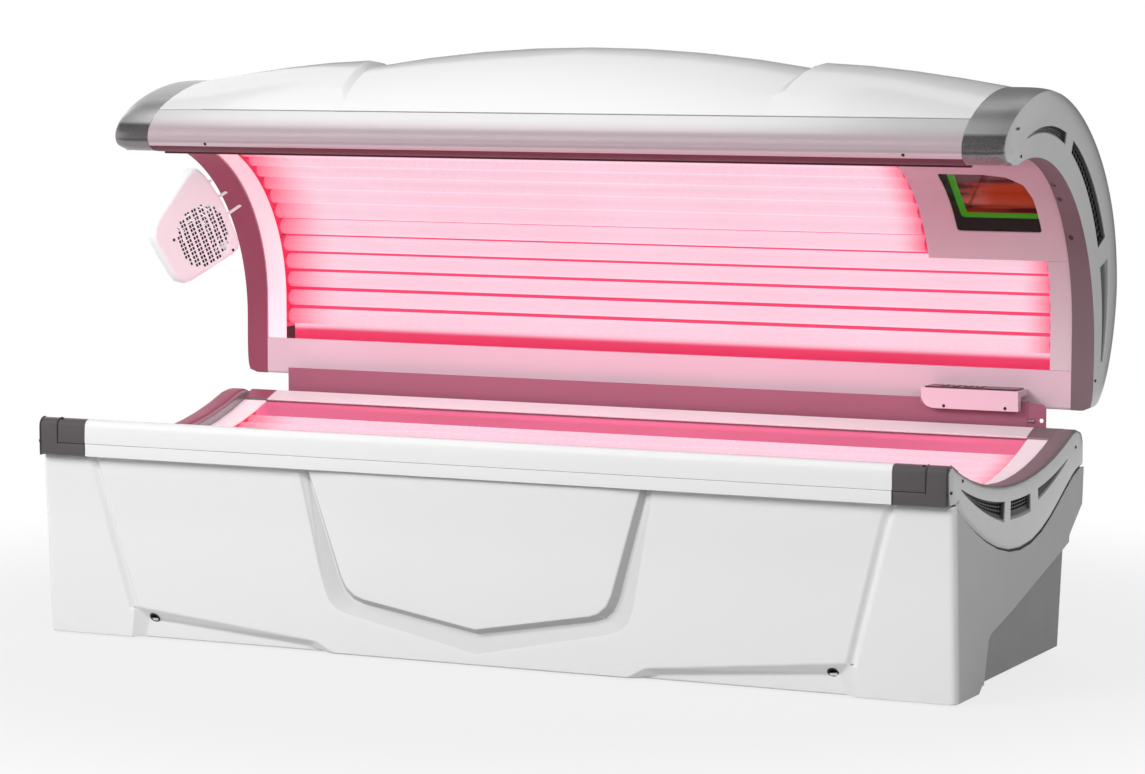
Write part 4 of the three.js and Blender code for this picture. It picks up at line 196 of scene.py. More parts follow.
class Shader:
    """A material, or the world's shader, under construction."""

    def __init__(self, name: str, is_world: bool = False) -> None:
        """Starts an empty shader.

        Args:
            name: Its name.
            is_world: Whether it belongs to the world and not to a material.
        """
        self.owner = (bpy.data.worlds if is_world else bpy.data.materials).new(name)
        self.owner.use_nodes = True
        self.tree = self.owner.node_tree
        self.tree.nodes.clear()
        self.output = self.tree.nodes.new("ShaderNodeOutputWorld" if is_world else "ShaderNodeOutputMaterial")

    def node(
        self, kind: str, settings: dict[str, Any] | None = None, sockets: dict[Any, Any] | None = None,
        output: Any = 0,
    ) -> Wire:
        """Adds a node.

        Args:
            kind: The node's type.
            settings: Properties of the node.
            sockets: Values or wires by socket name or number.
            output: Name or number of the output to return.

        Returns:
            The chosen output.
        """
        node = self.tree.nodes.new(kind)
        for key, value in (settings or {}).items():
            setattr(node, key, value)
        for key, value in (sockets or {}).items():
            if isinstance(value, Wire):
                self.tree.links.new(value.socket, node.inputs[key])
            else:
                node.inputs[key].default_value = value
        return Wire(self, node.outputs[output])

    def place(self) -> Wire:
        """The point on the piece, in metres."""
        return self.node("ShaderNodeTexCoord", output="Object")

    def along(self, axis: str) -> Wire:
        """One coordinate of the point on the piece."""
        return self.node("ShaderNodeSeparateXYZ", sockets={0: self.place()}, output=axis)

    def stretched(self, scale: Sequence[float]) -> Wire:
        """The point on the piece, stretched along the axes."""
        return self.node("ShaderNodeMapping", sockets={"Vector": self.place(), "Scale": tuple(scale)})

    def noise(self, scale: float, detail: float = 2.0, vector: Wire | None = None) -> Wire:
        """Soft noise from 0 to 1.

        Args:
            scale: Features per metre.
            detail: Octaves of finer noise.
            vector: Place to read, the piece's own point by default.

        Returns:
            The noise.
        """
        sockets = {"Vector": vector or self.place(), "Scale": scale, "Detail": detail}
        return self.node("ShaderNodeTexNoise", sockets=sockets)

    def blend(self, share: Any, first: Any, second: Any) -> Wire:
        """Mixes two colours by a share."""
        pair = [value if isinstance(value, Wire) else (*value, 1.0) for value in (first, second)]
        return self.node("ShaderNodeMix", {"data_type": "RGBA"}, {0: share, 6: pair[0], 7: pair[1]}, output=2)

    def mixed(self, share: Wire, first: Wire, second: Wire) -> Wire:
        """Mixes two surfaces by a share."""
        return self.node("ShaderNodeMixShader", sockets={0: share, 1: first, 2: second})

    def bump(self, height: Wire, distance: float, strength: float) -> Wire:
        """A normal bent by a height map."""
        sockets = {"Height": height, "Distance": distance, "Strength": strength}
        return self.node("ShaderNodeBump", sockets=sockets)

    def seen(self) -> Wire:
        """1 where the camera sees the surface, directly, in gloss or through glass, else 0."""
        kinds = ("Is Camera Ray", "Is Glossy Ray", "Is Transmission Ray")
        camera, gloss, through = (self.node("ShaderNodeLightPath", output=kind) for kind in kinds)
        return (camera + gloss + through).least(1.0)

    def principled(self, **sockets: Any) -> Wire:
        """The main surface shader, its sockets given with underscores for spaces."""
        values = {
            key.replace("_", " "): (*value, 1.0) if isinstance(value, tuple) and len(value) == 3 else value
            for key, value in sockets.items()
        }
        return self.node("ShaderNodeBsdfPrincipled", sockets=values)

    def done(self, surface: Wire) -> Any:
        """Links the surface and returns the material or world."""
        self.tree.links.new(surface.socket, self.output.inputs["Surface"])
        return self.owner


@dataclass(frozen=True)
class Finish:
    """A named finish, made into a material once."""

    name: str

    def material(self) -> bpy.types.Material:
        """The finish as a material."""
        known = bpy.data.materials.get(self.name)
        if known:
            return known
        shader = Shader(self.name)
        return shader.done(self.surface(shader))

    def surface(self, shader: Shader) -> Wire:
        """Adds the finish's nodes and returns its surface."""
        raise NotImplementedError


@dataclass(frozen=True)
class Lacquer(Finish):
    """A moulded or painted skin with soft mottling, a fine grain and scuffs near the floor; its glow is a
    painted glow, and its under and over colours, blended by height, are painted shade and highlight.
    """

    colour: Colour
    roughness: float = 0.3
    metallic: float = 0.0
    coat: float = 0.0
    mottle: float = 0.04
    grain: float = 900.0
    grain_height: float = 0.00004
    flake: float = 0.0
    glow: Colour = (0.0, 0.0, 0.0)
    under_colour: Colour | None = None
    under_span: Span = (0.0, 1.0)
    over_colour: Colour | None = None
    over_span: Span = (0.0, 1.0)
    specular: float = 0.5
    scuff: float = 0.05
    scuff_span: Span = (0.0, 0.11)
    scuff_shade: float = 0.55
    flake_scale: float = 1600.0
    flake_shine: float = 1.5

    def surface(self, shader: Shader) -> Wire:
        """The lacquered surface."""
        height = shader.along("Z")
        scratches = shader.noise(45.0, 4.0, shader.stretched((0.4, 1.0, 3.0))).ramp(0.5, 0.75)
        marks = scratches * (1 - height.ramp(*self.scuff_span)) * self.scuff
        colour = shader.blend(shader.noise(3.0, 3.0), scaled(self.colour, 1 - 2 * self.mottle), self.colour)
        # Painted shade and painted highlight: colours blended in above and below spans of height.
        if self.over_colour:
            colour = shader.blend(height.ramp(*self.over_span), colour, self.over_colour)
        if self.under_colour:
            colour = shader.blend(height.ramp(*self.under_span), self.under_colour, colour)
        colour = shader.blend(marks, colour, scaled(self.colour, self.scuff_shade))
        if self.flake:
            cells = {"Vector": shader.place(), "Scale": self.flake_scale}
            spark = shader.node("ShaderNodeTexVoronoi", {"feature": "F1"}, cells, output="Color")
            glint = shader.node("ShaderNodeSeparateColor", sockets={0: spark}).ramp(0.6, 1.0)
            colour = shader.blend(glint * self.flake, colour, scaled(self.colour, self.flake_shine))
        rough = self.roughness * (0.85 + 0.3 * shader.noise(14.0, 3.0)) + 0.3 * marks
        # The glow is a painted glow: light given off by a part that is no lamp.
        return shader.principled(
            Base_Color=colour, Roughness=rough, Metallic=self.metallic, Coat_Weight=self.coat,
            Coat_Roughness=0.08, Specular_IOR_Level=self.specular, Emission_Color=self.glow,
            Emission_Strength=float(any(self.glow)),
            Normal=shader.bump(shader.noise(self.grain), self.grain_height, 0.35),
        )


@dataclass(frozen=True)
class BareMetal(Finish):
    """Rolled or turned metal with drawn lines and dull spots."""

    colour: Colour
    roughness: float = 0.35
    lines: Point = (4.0, 220.0, 220.0)
    dull: float = 0.25
    line_shade: float = 0.72

    def surface(self, shader: Shader) -> Wire:
        """The metal surface."""
        lines = shader.noise(1.0, 3.0, shader.stretched(self.lines))
        spots = shader.noise(30.0, 4.0).ramp(0.45, 0.75)
        colour = shader.blend(lines * 0.5 + spots * 0.3, self.colour, scaled(self.colour, self.line_shade))
        rough = self.roughness * (0.8 + 0.4 * lines) + self.dull * 0.5 * spots
        normal = shader.bump(lines, 0.00005, 0.3)
        return shader.principled(Base_Color=colour, Roughness=rough, Metallic=0.95, Normal=normal)


@dataclass(frozen=True)
class LampGlow(Finish):
    """Lit lamp glass: pale along the tube and deeper towards its ends."""

    low: float
    high: float
    pale: Colour = (0.93, 0.66, 0.76)
    deep: Colour = (1.0, 0.035, 0.13)
    glass: Colour = (0.10, 0.05, 0.06)
    low_fade: Span = (0.05, 0.17)
    high_fade: Span = (0.09, 0.02)
    drift: float = 0.08

    def surface(self, shader: Shader) -> Wire:
        """The glowing glass."""
        along = shader.along("X")
        before, after = self.low_fade
        foot = 1 - along.ramp(self.low - before, self.low + after)
        before, after = self.high_fade
        head = along.ramp(self.high - before, self.high + after)
        drift = shader.noise(2.2).ramp(0.3, 0.8) * self.drift
        return shader.principled(
            Base_Color=self.glass, Roughness=0.22 + 0.1 * shader.noise(60.0), Emission_Strength=1.0,
            Emission_Color=shader.blend((foot + head + drift).least(1.0), self.pale, self.deep),
        )


@dataclass(frozen=True)
class GlowSheet(Finish):
    """Reflector sheet with a painted glow: the lamps' deep pink light between the tubes, given off by the
    sheet, on metal tinted pink as a painted reflection.
    """

    glow: Colour = (1.0, 0.035, 0.135)
    strength: float = 0.9
    metal: Colour = (0.30, 0.09, 0.13)
    dim: float = 0.72
    spill: Colour = (1.0, 0.66, 0.78)
    spill_span: Span | None = None
    spill_fade: Span = (0.006, 0.012)

    def surface(self, shader: Shader) -> Wire:
        """The sheet with its painted glow, and a painted pale band of spilt light where it has one."""
        drawn = shader.noise(1.0, 3.0, shader.stretched((3.0, 160.0, 160.0)))
        glow = shader.blend(shader.noise(2.0), scaled(self.glow, self.dim), self.glow)
        if self.spill_span:
            height, top = shader.along("Z"), self.spill_span[1]
            fade = 1 - height.ramp(top + self.spill_fade[0], top + self.spill_fade[1])
            glow = shader.blend(height.ramp(*self.spill_span) * fade, glow, self.spill)
        return shader.principled(
            Base_Color=self.metal, Metallic=1.0, Roughness=0.30 + 0.14 * drawn, Emission_Color=glow,
            Emission_Strength=self.strength, Normal=shader.bump(drawn, 0.00004, 0.3),
        )


@dataclass(frozen=True)
class ClearSheet(Finish):
    """Clear acrylic: see-through, with a glossy face that reflects more at a slant."""

    tint: Colour = (0.985, 0.955, 0.965)
    shine: Colour = (0.96, 0.94, 0.945)
    index: float = 1.49
    most_gloss: float = 0.015

    def surface(self, shader: Shader) -> Wire:
        """The clear surface, with faint smears."""
        smears = shader.noise(9.0, 4.0, shader.stretched((0.35, 1.0, 1.0))).ramp(0.35, 0.85)
        through = shader.node("ShaderNodeBsdfTransparent", sockets={"Color": (*self.tint, 1.0)})
        gloss = shader.principled(Base_Color=self.shine, Metallic=1.0, Roughness=0.03 + 0.05 * smears)
        facing = shader.node("ShaderNodeFresnel", sockets={"IOR": self.index})
        share = (facing * 0.15 + smears * 0.003).least(self.most_gloss)
        return shader.mixed(share, through, gloss)


@dataclass(frozen=True)
class FilterGlass(Finish):
    """Coated filter glass: amber, giving off light as its lamps shine through it, with painted darker bands
    that stand for those lamps.
    """

    light: Colour = (0.36, 0.042, 0.006)
    dark: Colour = (0.05, 0.006, 0.003)
    glow: float = 0.35

    def surface(self, shader: Shader) -> Wire:
        """The banded glass."""
        bands = shader.noise(9.0, 2.0, shader.stretched((0.3, 2.6, 2.6))).ramp(0.46, 0.62)
        colour = shader.blend(bands, self.dark, self.light)
        return shader.principled(
            Base_Color=colour, Roughness=0.05 + 0.06 * bands, Coat_Weight=0.3, Coat_Roughness=0.03,
            Emission_Color=colour, Emission_Strength=self.glow,
        )


@dataclass(frozen=True)
class DeepShade(Finish):
    """Silver lacquer with painted shade that darkens it with its depth behind the bed's end faces."""

    face: Colour = (0.34, 0.34, 0.345)
    deep: Colour = (0.035, 0.035, 0.036)
    reach: Span = (0.0002, 0.0045)

    def surface(self, shader: Shader) -> Wire:
        """The surface with its painted shade."""
        depth = PLAN.half - abs(shader.along("X") - PLAN.middle_x)
        share = (depth.ramp(*self.reach) + 0.08 * shader.noise(40.0, 3.0)).least(1.0)
        rough = 0.42 + 0.12 * shader.noise(14.0, 3.0)
        return shader.principled(Base_Color=shader.blend(share, self.face, self.deep), Roughness=rough)


@dataclass(frozen=True)
class FlagCloth(Finish):
    """Dark cloth with an uneven shade."""

    shade: float

    def surface(self, shader: Shader) -> Wire:
        """The cloth, which gives off its shade evenly."""
        low, high = ((share * self.shade,) * 3 for share in (0.7, 1.3))
        colour = shader.blend(shader.noise(6.0), low, high)
        return shader.node("ShaderNodeEmission", sockets={"Color": colour})


@dataclass(frozen=True)
class PaleFloor(Finish):
    """A pale floor that reads white and keeps a soft shadow."""

    colour: Colour = (0.4, 0.4, 0.4)
    white_share: float = 0.8
    fade: Span = (1.2, 2.6)

    def surface(self, shader: Shader) -> Wire:
        """The floor, whiter away from the bed."""
        matt = shader.node("ShaderNodeBsdfDiffuse", sockets={"Color": (*self.colour, 1.0)})
        white = shader.node("ShaderNodeEmission", sockets={"Color": (1.0, 1.0, 1.0, 1.0), "Strength": 1.0})
        away = shader.node("ShaderNodeVectorMath", {"operation": "LENGTH"}, {0: shader.place()}, output="Value")
        share = self.white_share + (1 - self.white_share) * away.ramp(*self.fade)
        return shader.mixed(shader.seen() * share, matt, white)


MATT_SKIN = (0.79, 0.735, 0.755)
SILVER = Lacquer("silver_lacquer", (0.41, 0.41, 0.415), 0.3, metallic=0.8, coat=0.1, flake=0.3)
# Painted highlight and painted shade on the caps' nose: a bright band over a dark underside, standing for its
# reflections.
NOSE_SILVER = Lacquer(
    "silver_nose_lacquer", (0.95, 0.95, 0.955), 0.3, metallic=0.8, coat=0.1, flake=0.3,
    under_colour=(0.2, 0.19, 0.193), under_span=(1.158, 1.168),
    over_colour=SILVER.colour, over_span=(1.18, 1.208),
)
GLOSS_WHITE = Lacquer("gloss_white_moulding", (0.83, 0.83, 0.835), 0.24, coat=0.35, mottle=0.012)
# Painted shade on the white front panel: the shadow at the foot of the shield's wall, and a lighter one on the
# ramp round it.
SHIELD_SHADE = Lacquer("shield_wall_shade", (0.54, 0.54, 0.545), 0.35, coat=0.2, mottle=0.02)
SHIELD_RAMP = Lacquer("shield_ramp_shade", (0.70, 0.70, 0.705), 0.35, coat=0.2, mottle=0.02)
# Painted shade: a grey line on the white shell's front edge, for the shadow in its seam with the nose rail.
SHELL_LIP = Lacquer("shell_lip_grey", (0.30, 0.295, 0.30), 0.4)
PANEL_GREY = Lacquer("grey_powder_coat", (0.535, 0.535, 0.54), 0.46, grain=1500.0, grain_height=0.0001)
# Painted shade: the end panels' pressed recess, the same powder coat as the panel, painted darker.
RECESS_GREY = Lacquer("recess_powder_coat", (0.25, 0.25, 0.253), 0.46, grain=1500.0, grain_height=0.0001)
# The nose rail's own pearl white, with a pink painted shade blended in on its lower half.
PEARL_RAIL = Lacquer(
    "pearl_white_rail", (0.86, 0.85, 0.855), 0.3, metallic=0.45, coat=0.1, mottle=0.012,
    under_colour=(0.66, 0.53, 0.575), under_span=(1.146, 1.186),
)
# Painted pink light on white: the canopy's lower rail and the control housing, tinted for the lamps' pink light
# on them.
ROSE_RAIL = Lacquer("rose_white_rail", (0.75, 0.55, 0.63), 0.40, grain_height=0.00006)
# Painted glow: matt white parts that give off light of their own, for the lamps' light on them; only the foot
# end's canopy strip has it.
LIT_STRIP = Lacquer("lit_strip", MATT_SKIN, 0.42, grain_height=0.00006, glow=(0.70, 0.38, 0.41))
LIT_BENCH_STRIP = Lacquer("lit_bench_strip", MATT_SKIN, 0.42, grain_height=0.00006, glow=(0.26, 0.28, 0.28))
LIT_FAN = Lacquer("lit_fan", MATT_SKIN, 0.42, grain_height=0.00006, glow=(0.16, 0.25, 0.25))
# Painted shade on the inner bands of the silver caps and covers, with a painted pink glow at the foot end.
INNER_BAND = Lacquer("inner_band_grey", (0.19, 0.15, 0.16), 0.42, mottle=0.05)
LIT_BAND = Lacquer("lit_band_grey", (0.15, 0.05, 0.075), 0.42, mottle=0.05, glow=(0.17, 0.022, 0.045))
GASKET_GREY = Lacquer("gasket_grey", (0.11, 0.11, 0.112), 0.7, grain=500.0, grain_height=0.0002)
# Painted shade in dark maroon: the nose rail's downward faces and the lip below them, for the shadowed lower
# edge in the lamps' pink light.
SEAL_GREY = Lacquer("seal_rubber", (0.16, 0.035, 0.06), 0.55)
VENT_SILVER = DeepShade("vent_lacquer")
VENT_DARK = Lacquer("vent_dark", (0.006, 0.006, 0.006), 0.7)
COLLAR_BLACK = Lacquer("collar_black", (0.005, 0.005, 0.006), 0.5, specular=0.1)
AMBER_GLASS = FilterGlass("amber_filter")
# Painted glow and painted reflection: the filter's green rim, for the light off its coating.
FILTER_EDGE = Lacquer(
    "filter_edge", (0.05, 0.32, 0.008), 0.12, coat=0.8, mottle=0.12, glow=(0.015, 0.17, 0.003)
)
# Dark maroon for the fan wheel, and painted shade inside the white fan housing behind the grille.
FAN_DARK = Lacquer("fan_wheel_dark", (0.05, 0.018, 0.026), 0.5)
BUTTON_DARK = Lacquer("button_dark", (0.10, 0.03, 0.05), 0.3, coat=0.3)
HOLE_PLUG = Lacquer("hole_plug", (0.035, 0.022, 0.028), 0.45)
DARK_SCREW = BareMetal("dark_screw", (0.07, 0.065, 0.068), 0.4, lines=(160.0, 160.0, 20.0))
LONG_LAMP = LampGlow("long_lamp_glow", *PLAN.lamp_span())
# Painted glow on the reflectors and the holder plates, which are no lamps.
LIT_WING = GlowSheet("lit_reflector_wing", (1.0, 0.2, 0.36))
LIT_CANOPY_SHEET = GlowSheet("lit_canopy_reflector", spill_span=(0.629, 0.644))
LIT_PLATE = GlowSheet("lit_holder_plate", (1.0, 0.03, 0.11), 0.75)

SLOT_FINISHES: dict[Slot, Finish] = {
    Slot.GLOSS_WHITE: GLOSS_WHITE,
    Slot.SILVER_GREY: SILVER,
    Slot.DARK_GREY: Lacquer("dark_grey_moulding", (0.10, 0.089, 0.092), 0.36, coat=0.2, grain_height=0.00008),
    Slot.PANEL_GREY: PANEL_GREY,
    # The grey shroud, painted pink for the lamps' pink light on it.
    Slot.SHROUD_GREY: Lacquer(
        "shroud_powder_coat", (0.34, 0.115, 0.175), 0.5, grain=1500.0, grain_height=0.0001
    ),
    Slot.MATT_WHITE: Lacquer("matt_white_moulding", MATT_SKIN, 0.42, grain_height=0.00006),
    Slot.ACRYLIC: ClearSheet("clear_acrylic"),
    Slot.LAMP_GLASS: LONG_LAMP,
    Slot.REFLECTOR: GlowSheet("reflector_sheet"),
    Slot.STEEL: BareMetal("pickled_steel", (0.40, 0.41, 0.42), 0.42),
    Slot.ZINC: BareMetal("zinc_plate", (0.58, 0.59, 0.60), 0.34),
    Slot.BALLAST: BareMetal("ballast_case", (0.50, 0.51, 0.52), 0.5, lines=(30.0, 30.0, 220.0)),
    Slot.BLACK_PLASTIC: Lacquer("black_moulding", (0.018, 0.018, 0.02), 0.34, grain_height=0.00008),
    Slot.RUBBER: Lacquer("foot_rubber", (0.03, 0.03, 0.032), 0.75, grain=500.0, grain_height=0.0002),
    Slot.AMBER_GLASS: AMBER_GLASS,
    Slot.SMOKED_PLATE: Lacquer("smoked_plate", (0.085, 0.02, 0.04), 0.12, coat=0.8, mottle=0.02),
}


@dataclass(frozen=True)
class Softening:
    """How a skin's edges are rounded and shaded, its angles in degrees."""

    edge: float = 0.0012
    segments: int = 2
    angle: float = 30.0
    smooth: float = 38.0
    levels: int = 0
    crease: float = 40.0


THIN = Softening(0.0006, 2, 50.0)
TRIM = Softening(0.0014, 2, 50.0)
PLATE = Softening(0.0008)

# Lengths in metres and angles in degrees that decide which points and faces belong together.
SLACK = 0.0001
JOIN_REACH = 0.00002
FLAT_ANGLE = 0.4
QUAD_SHAPE = 60.0

FaceTest = Callable[[Vector, Vector], bool]
FaceNumber = Callable[[Vector, Vector], int]
Layout = Callable[[float, float], Vector]


class Workshop:
    """Makes and finishes pieces with Blender's own operators."""

    def __init__(self, frame: dict[str, Any]) -> None:
        """Reads which body and slot each CAD node has.
        """
        record = frame["record"]
        self.nodes: dict[str, bpy.types.Object] = frame["nodes"]
        self.bodies: dict[str, bpy.types.Object] = frame["bodies"]
        self.body_of = {node: body for body, nodes in record["behaviour"]["bodies"].items() for node in nodes}
        self.slot_of = {part["node"]: Slot(part["material_slot"]) for part in record["subparts"]}

    @staticmethod
    def start(shape: Shape, name: str, **settings: Any) -> bpy.types.Object:
        """A primitive to shape a piece from, selected alone, with its place moved into its mesh.

        Args:
            shape: Kind of primitive.
            name: The piece's name.
            settings: What the primitive's operator takes.

        Returns:
            The new object.
        """
        adders = {
            Shape.CUBE: bpy.ops.mesh.primitive_cube_add,
            Shape.CYLINDER: bpy.ops.mesh.primitive_cylinder_add,
            Shape.GRID: bpy.ops.mesh.primitive_grid_add,
            Shape.PLANE: bpy.ops.mesh.primitive_plane_add,
        }
        bpy.ops.object.select_all(action="DESELECT")
        adders[shape](**settings)
        piece = bpy.context.object
        piece.name = name
        bpy.ops.object.transform_apply(location=True, rotation=True, scale=True)
        return piece

    @staticmethod
    def only(piece: bpy.types.Object) -> None:
        """Selects one piece and nothing else."""
        bpy.ops.object.select_all(action="DESELECT")
        piece.select_set(True)
        bpy.context.view_layer.objects.active = piece

    @contextmanager
    def editing(self, piece: bpy.types.Object, mode: str = "FACE") -> Iterator[None]:
        """Edit mode on one piece, with nothing selected in it.

        Args:
            piece: The piece to edit.
            mode: Select mode, such as FACE or EDGE.
        """
        self.only(piece)
        bpy.ops.object.mode_set(mode="EDIT")
        bpy.ops.mesh.select_mode(type=mode)
        bpy.ops.mesh.select_all(action="DESELECT")
        yield
        bpy.ops.object.mode_set(mode="OBJECT")

    @staticmethod
    def pick(piece: bpy.types.Object, test: FaceTest) -> None:
        """Selects the faces whose middle and normal pass a test, in edit mode."""
        bpy.ops.object.mode_set(mode="OBJECT")
        for face in piece.data.polygons:
            face.select = test(face.center, face.normal)
        bpy.ops.object.mode_set(mode="EDIT")

    def pick_facing(self, piece: bpy.types.Object, heading: Vector, share: float = 0.9) -> None:
        """Selects the faces that look in a direction, in edit mode."""
        self.pick(piece, lambda _, normal: normal.dot(heading) > share)

    @staticmethod
    def extrude(x: float = 0.0, z: float = 0.0) -> None:
        """Extrudes the selected faces along X or Z, in edit mode."""
        bpy.ops.mesh.extrude_region_move(TRANSFORM_OT_translate={"value": (x, 0, z)})

    def apply(self, piece: bpy.types.Object, kind: str, **settings: Any) -> None:
        """Adds a modifier with these settings and applies it."""
        self.only(piece)
        modifier = piece.modifiers.new(kind.lower(), kind)
        for key, value in settings.items():
            setattr(modifier, key, value)
        bpy.ops.object.modifier_apply(modifier=modifier.name)

    def smooth(self, piece: bpy.types.Object, angle: float) -> None:
        """Shades a piece smoothly, except over edges sharper than an angle in degrees."""
        self.only(piece)
        bpy.ops.object.shade_smooth_by_angle(angle=math.radians(angle))

    def merged_copy(self, node: str, name: str) -> bpy.types.Object:
        """A copy of a CAD node with its vertices joined and its flat faces cut anew.

        Args:
            node: The CAD node.
            name: The copy's name.

        Returns:
            The copy.
        """
        piece = self.copy(self.nodes[node], name)
        self.only(piece)
        bpy.ops.mesh.customdata_custom_splitnormals_clear()
        with self.editing(piece):
            bpy.ops.mesh.select_all(action="SELECT")
            bpy.ops.mesh.remove_doubles(threshold=JOIN_REACH)
            bpy.ops.mesh.dissolve_limited(angle_limit=math.radians(FLAT_ANGLE))
            bpy.ops.mesh.quads_convert_to_tris(quad_method="BEAUTY", ngon_method="BEAUTY")
        return piece

    def soften(self, piece: bpy.types.Object, softening: Softening) -> None:
        """Rounds a piece's edges and smooths its faces."""
        crease = math.radians(softening.crease)
        if softening.levels:
            with self.editing(piece, "EDGE"):
                bpy.ops.mesh.select_all(action="SELECT")
                bpy.ops.mesh.tris_convert_to_quads(
                    face_threshold=crease, shape_threshold=math.radians(QUAD_SHAPE)
                )
                bpy.ops.mesh.select_all(action="DESELECT")
                bpy.ops.mesh.edges_select_sharp(sharpness=crease)
                bpy.ops.transform.edge_crease(value=1.0)
            self.apply(piece, "SUBSURF", levels=softening.levels, render_levels=softening.levels)
        if softening.edge:
            self.apply(
                piece, "BEVEL", width=softening.edge, segments=softening.segments, limit_method="ANGLE",
                angle_limit=math.radians(softening.angle), use_clamp_overlap=False,
            )
        self.smooth(piece, softening.smooth)
        self.apply(piece, "WEIGHTED_NORMAL", keep_sharp=True)

    def finish(
        self, piece: bpy.types.Object, body: str, slot: Slot, nodes: Sequence[str] = (),
        finishes: Sequence[Finish] = (),
    ) -> bpy.types.Object:
        """Paints a piece and puts it on its body.

        Args:
            piece: The piece.
            body: The CAD body that it rides on.
            slot: The record's slot for its finish.
            nodes: CAD nodes that it stands for.
            finishes: Finishes in the order of its face numbers, the slot's own by default.

        Returns:
            The piece.
        """
        piece.data.name = piece.name
        self._set_materials(piece.data, [one.material() for one in finishes or (SLOT_FINISHES[slot],)])
        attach(piece, body)
        if nodes:
            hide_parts(*nodes)
        LOG.info("%s on %s, %d faces", piece.name, body, len(piece.data.polygons))
        return piece

    @staticmethod
    def _set_materials(mesh: bpy.types.Mesh, wanted: Sequence[bpy.types.Material]) -> None:
        """Sets a mesh's materials and leaves its faces' numbers as they are."""
        for number, material in enumerate(wanted):
            if number < len(mesh.materials):
                mesh.materials[number] = material
            else:
                mesh.materials.append(material)
        while len(mesh.materials) > len(wanted):
            mesh.materials.pop()

    def skin(
        self, node: str, softening: Softening = Softening(), finishes: Sequence[Finish] = (),
        number: FaceNumber | None = None,
    ) -> bpy.types.Object:
        """A softened copy of a CAD node that stands for it.

        Args:
            node: The CAD node.
            softening: How its edges are rounded.
            finishes: Its finishes, the slot's own by default.
            number: Number of a face's finish, from its middle and normal.

        Returns:
            The copy.
        """
        piece = self.merged_copy(node, f"{node}_skin")
        self.soften(piece, softening)
        if number:
            for face in piece.data.polygons:
                face.material_index = int(number(face.center, face.normal))
        return self.finish(piece, self.body_of[node], self.slot_of[node], (node,), finishes)

    def repaint(self, node: str) -> None:
        """Gives a CAD node that stays the material of its slot."""
        data = self.nodes[node].data
        data.materials.clear()
        data.materials.append(SLOT_FINISHES[self.slot_of[node]].material())
        LOG.info("%s keeps its shape", node)

    def copy(self, piece: bpy.types.Object, name: str, place: Matrix | None = None) -> bpy.types.Object:
        """A copy of a piece with its own mesh.

        Args:
            piece: The piece to copy.
            name: The copy's name.
            place: Moves the copy's mesh, if given.

        Returns:
            The copy, faces outwards.
        """
        other = bpy.data.objects.new(name, piece.data.copy())
        bpy.context.scene.collection.objects.link(other)
        if place is None:
            return other
        other.data.transform(place)
        if place.determinant() < 0:
            with self.editing(other):
                bpy.ops.mesh.select_all(action="SELECT")
                bpy.ops.mesh.flip_normals()
        return other

    def mirrored(self, piece: bpy.types.Object, name: str) -> bpy.types.Object:
        """A copy of a piece at the bed's other end."""
        across = Matrix.Translation((2 * PLAN.middle_x, 0, 0)) @ Matrix.Diagonal((-1, 1, 1, 1))
        return self.copy(piece, name, across)

    def grid(self, name: str, columns: int, rows: int, layout: Layout) -> bpy.types.Object:
        """A grid of faces whose points are laid out by a rule.

        Args:
            name: The piece's name.
            columns: Faces along the first direction.
            rows: Faces along the second direction.
            layout: Place of each point, from its shares along both directions.

        Returns:
            The grid.
        """
        piece = self.start(Shape.GRID, name, x_subdivisions=columns, y_subdivisions=rows, size=1)
        for vertex in piece.data.vertices:
            vertex.co = layout(vertex.co.x + 0.5, vertex.co.y + 0.5)
        return piece

    def thicken(self, piece: bpy.types.Object, wall: float) -> None:
        """Gives a sheet a wall, behind its face."""
        self.apply(piece, "SOLIDIFY", thickness=wall, offset=-1.0)

    def sheet(self, name: str, columns: int, rows: int, layout: Layout, wall: float) -> bpy.types.Object:
        """A curved sheet with a wall.

        Args:
            name: The sheet's name.
            columns: Faces along the first direction.
            rows: Faces along the second direction.
            layout: Place of each point, from its shares along both directions.
            wall: Thickness, behind the laid-out face.

        Returns:
            The sheet.
        """
        piece = self.grid(name, columns, rows, layout)
        self.thicken(piece, wall)
        self.smooth(piece, 50.0)
        return piece

    def lip(
        self, name: str, middle: Sequence[float], size: Sequence[float], looks: Vector, rim: float,
        shift: Sequence[float],
    ) -> bpy.types.Object:
        """A rubber strip with one long face inset and moved.

        Args:
            name: The strip's name.
            middle: Its middle.
            size: Its size along the axes.
            looks: Direction that the shaped face looks in.
            rim: Width of the rim round that face.
            shift: How far the face moves.

        Returns:
            The strip.
        """
        strip = self.start(Shape.CUBE, name, size=1, location=middle, scale=size)
        with self.editing(strip):
            self.pick_facing(strip, looks)
            bpy.ops.mesh.inset(thickness=rim, depth=0)
            bpy.ops.transform.translate(value=shift)
        return strip

    def seat_on(self, node: str, start: Sequence[float], heading: Vector) -> tuple[Vector, Vector]:
        """The point and normal where a line meets a CAD node.

        Args:
            node: The CAD node.
            start: A point on the line, outside the node.
            heading: The line's direction.

        Returns:
            The point and the face's normal.
        """
        mesh = self.nodes[node].data
        corners = [vertex.co for vertex in mesh.vertices]
        tree = BVHTree.FromPolygons(corners, [tuple(face.vertices) for face in mesh.polygons])
        point, normal, _, _ = tree.ray_cast(Vector(start), heading.normalized())
        if point is None:
            raise ValueError(f"nothing of {node} lies ahead of {tuple(start)}")
        return point, normal

    @staticmethod
    def standing(point: Sequence[float], normal: Vector) -> Matrix:
        """The move that stands a piece on a point, along the face's normal."""
        return Matrix.Translation(point) @ normal.to_track_quat("Z", "Y").to_matrix().to_4x4()


@dataclass
class SubAssembly:
    """Pieces that are built and dressed together."""

    shop: Workshop

    def build(self) -> None:
        """Builds and dresses the pieces."""
        raise NotImplementedError


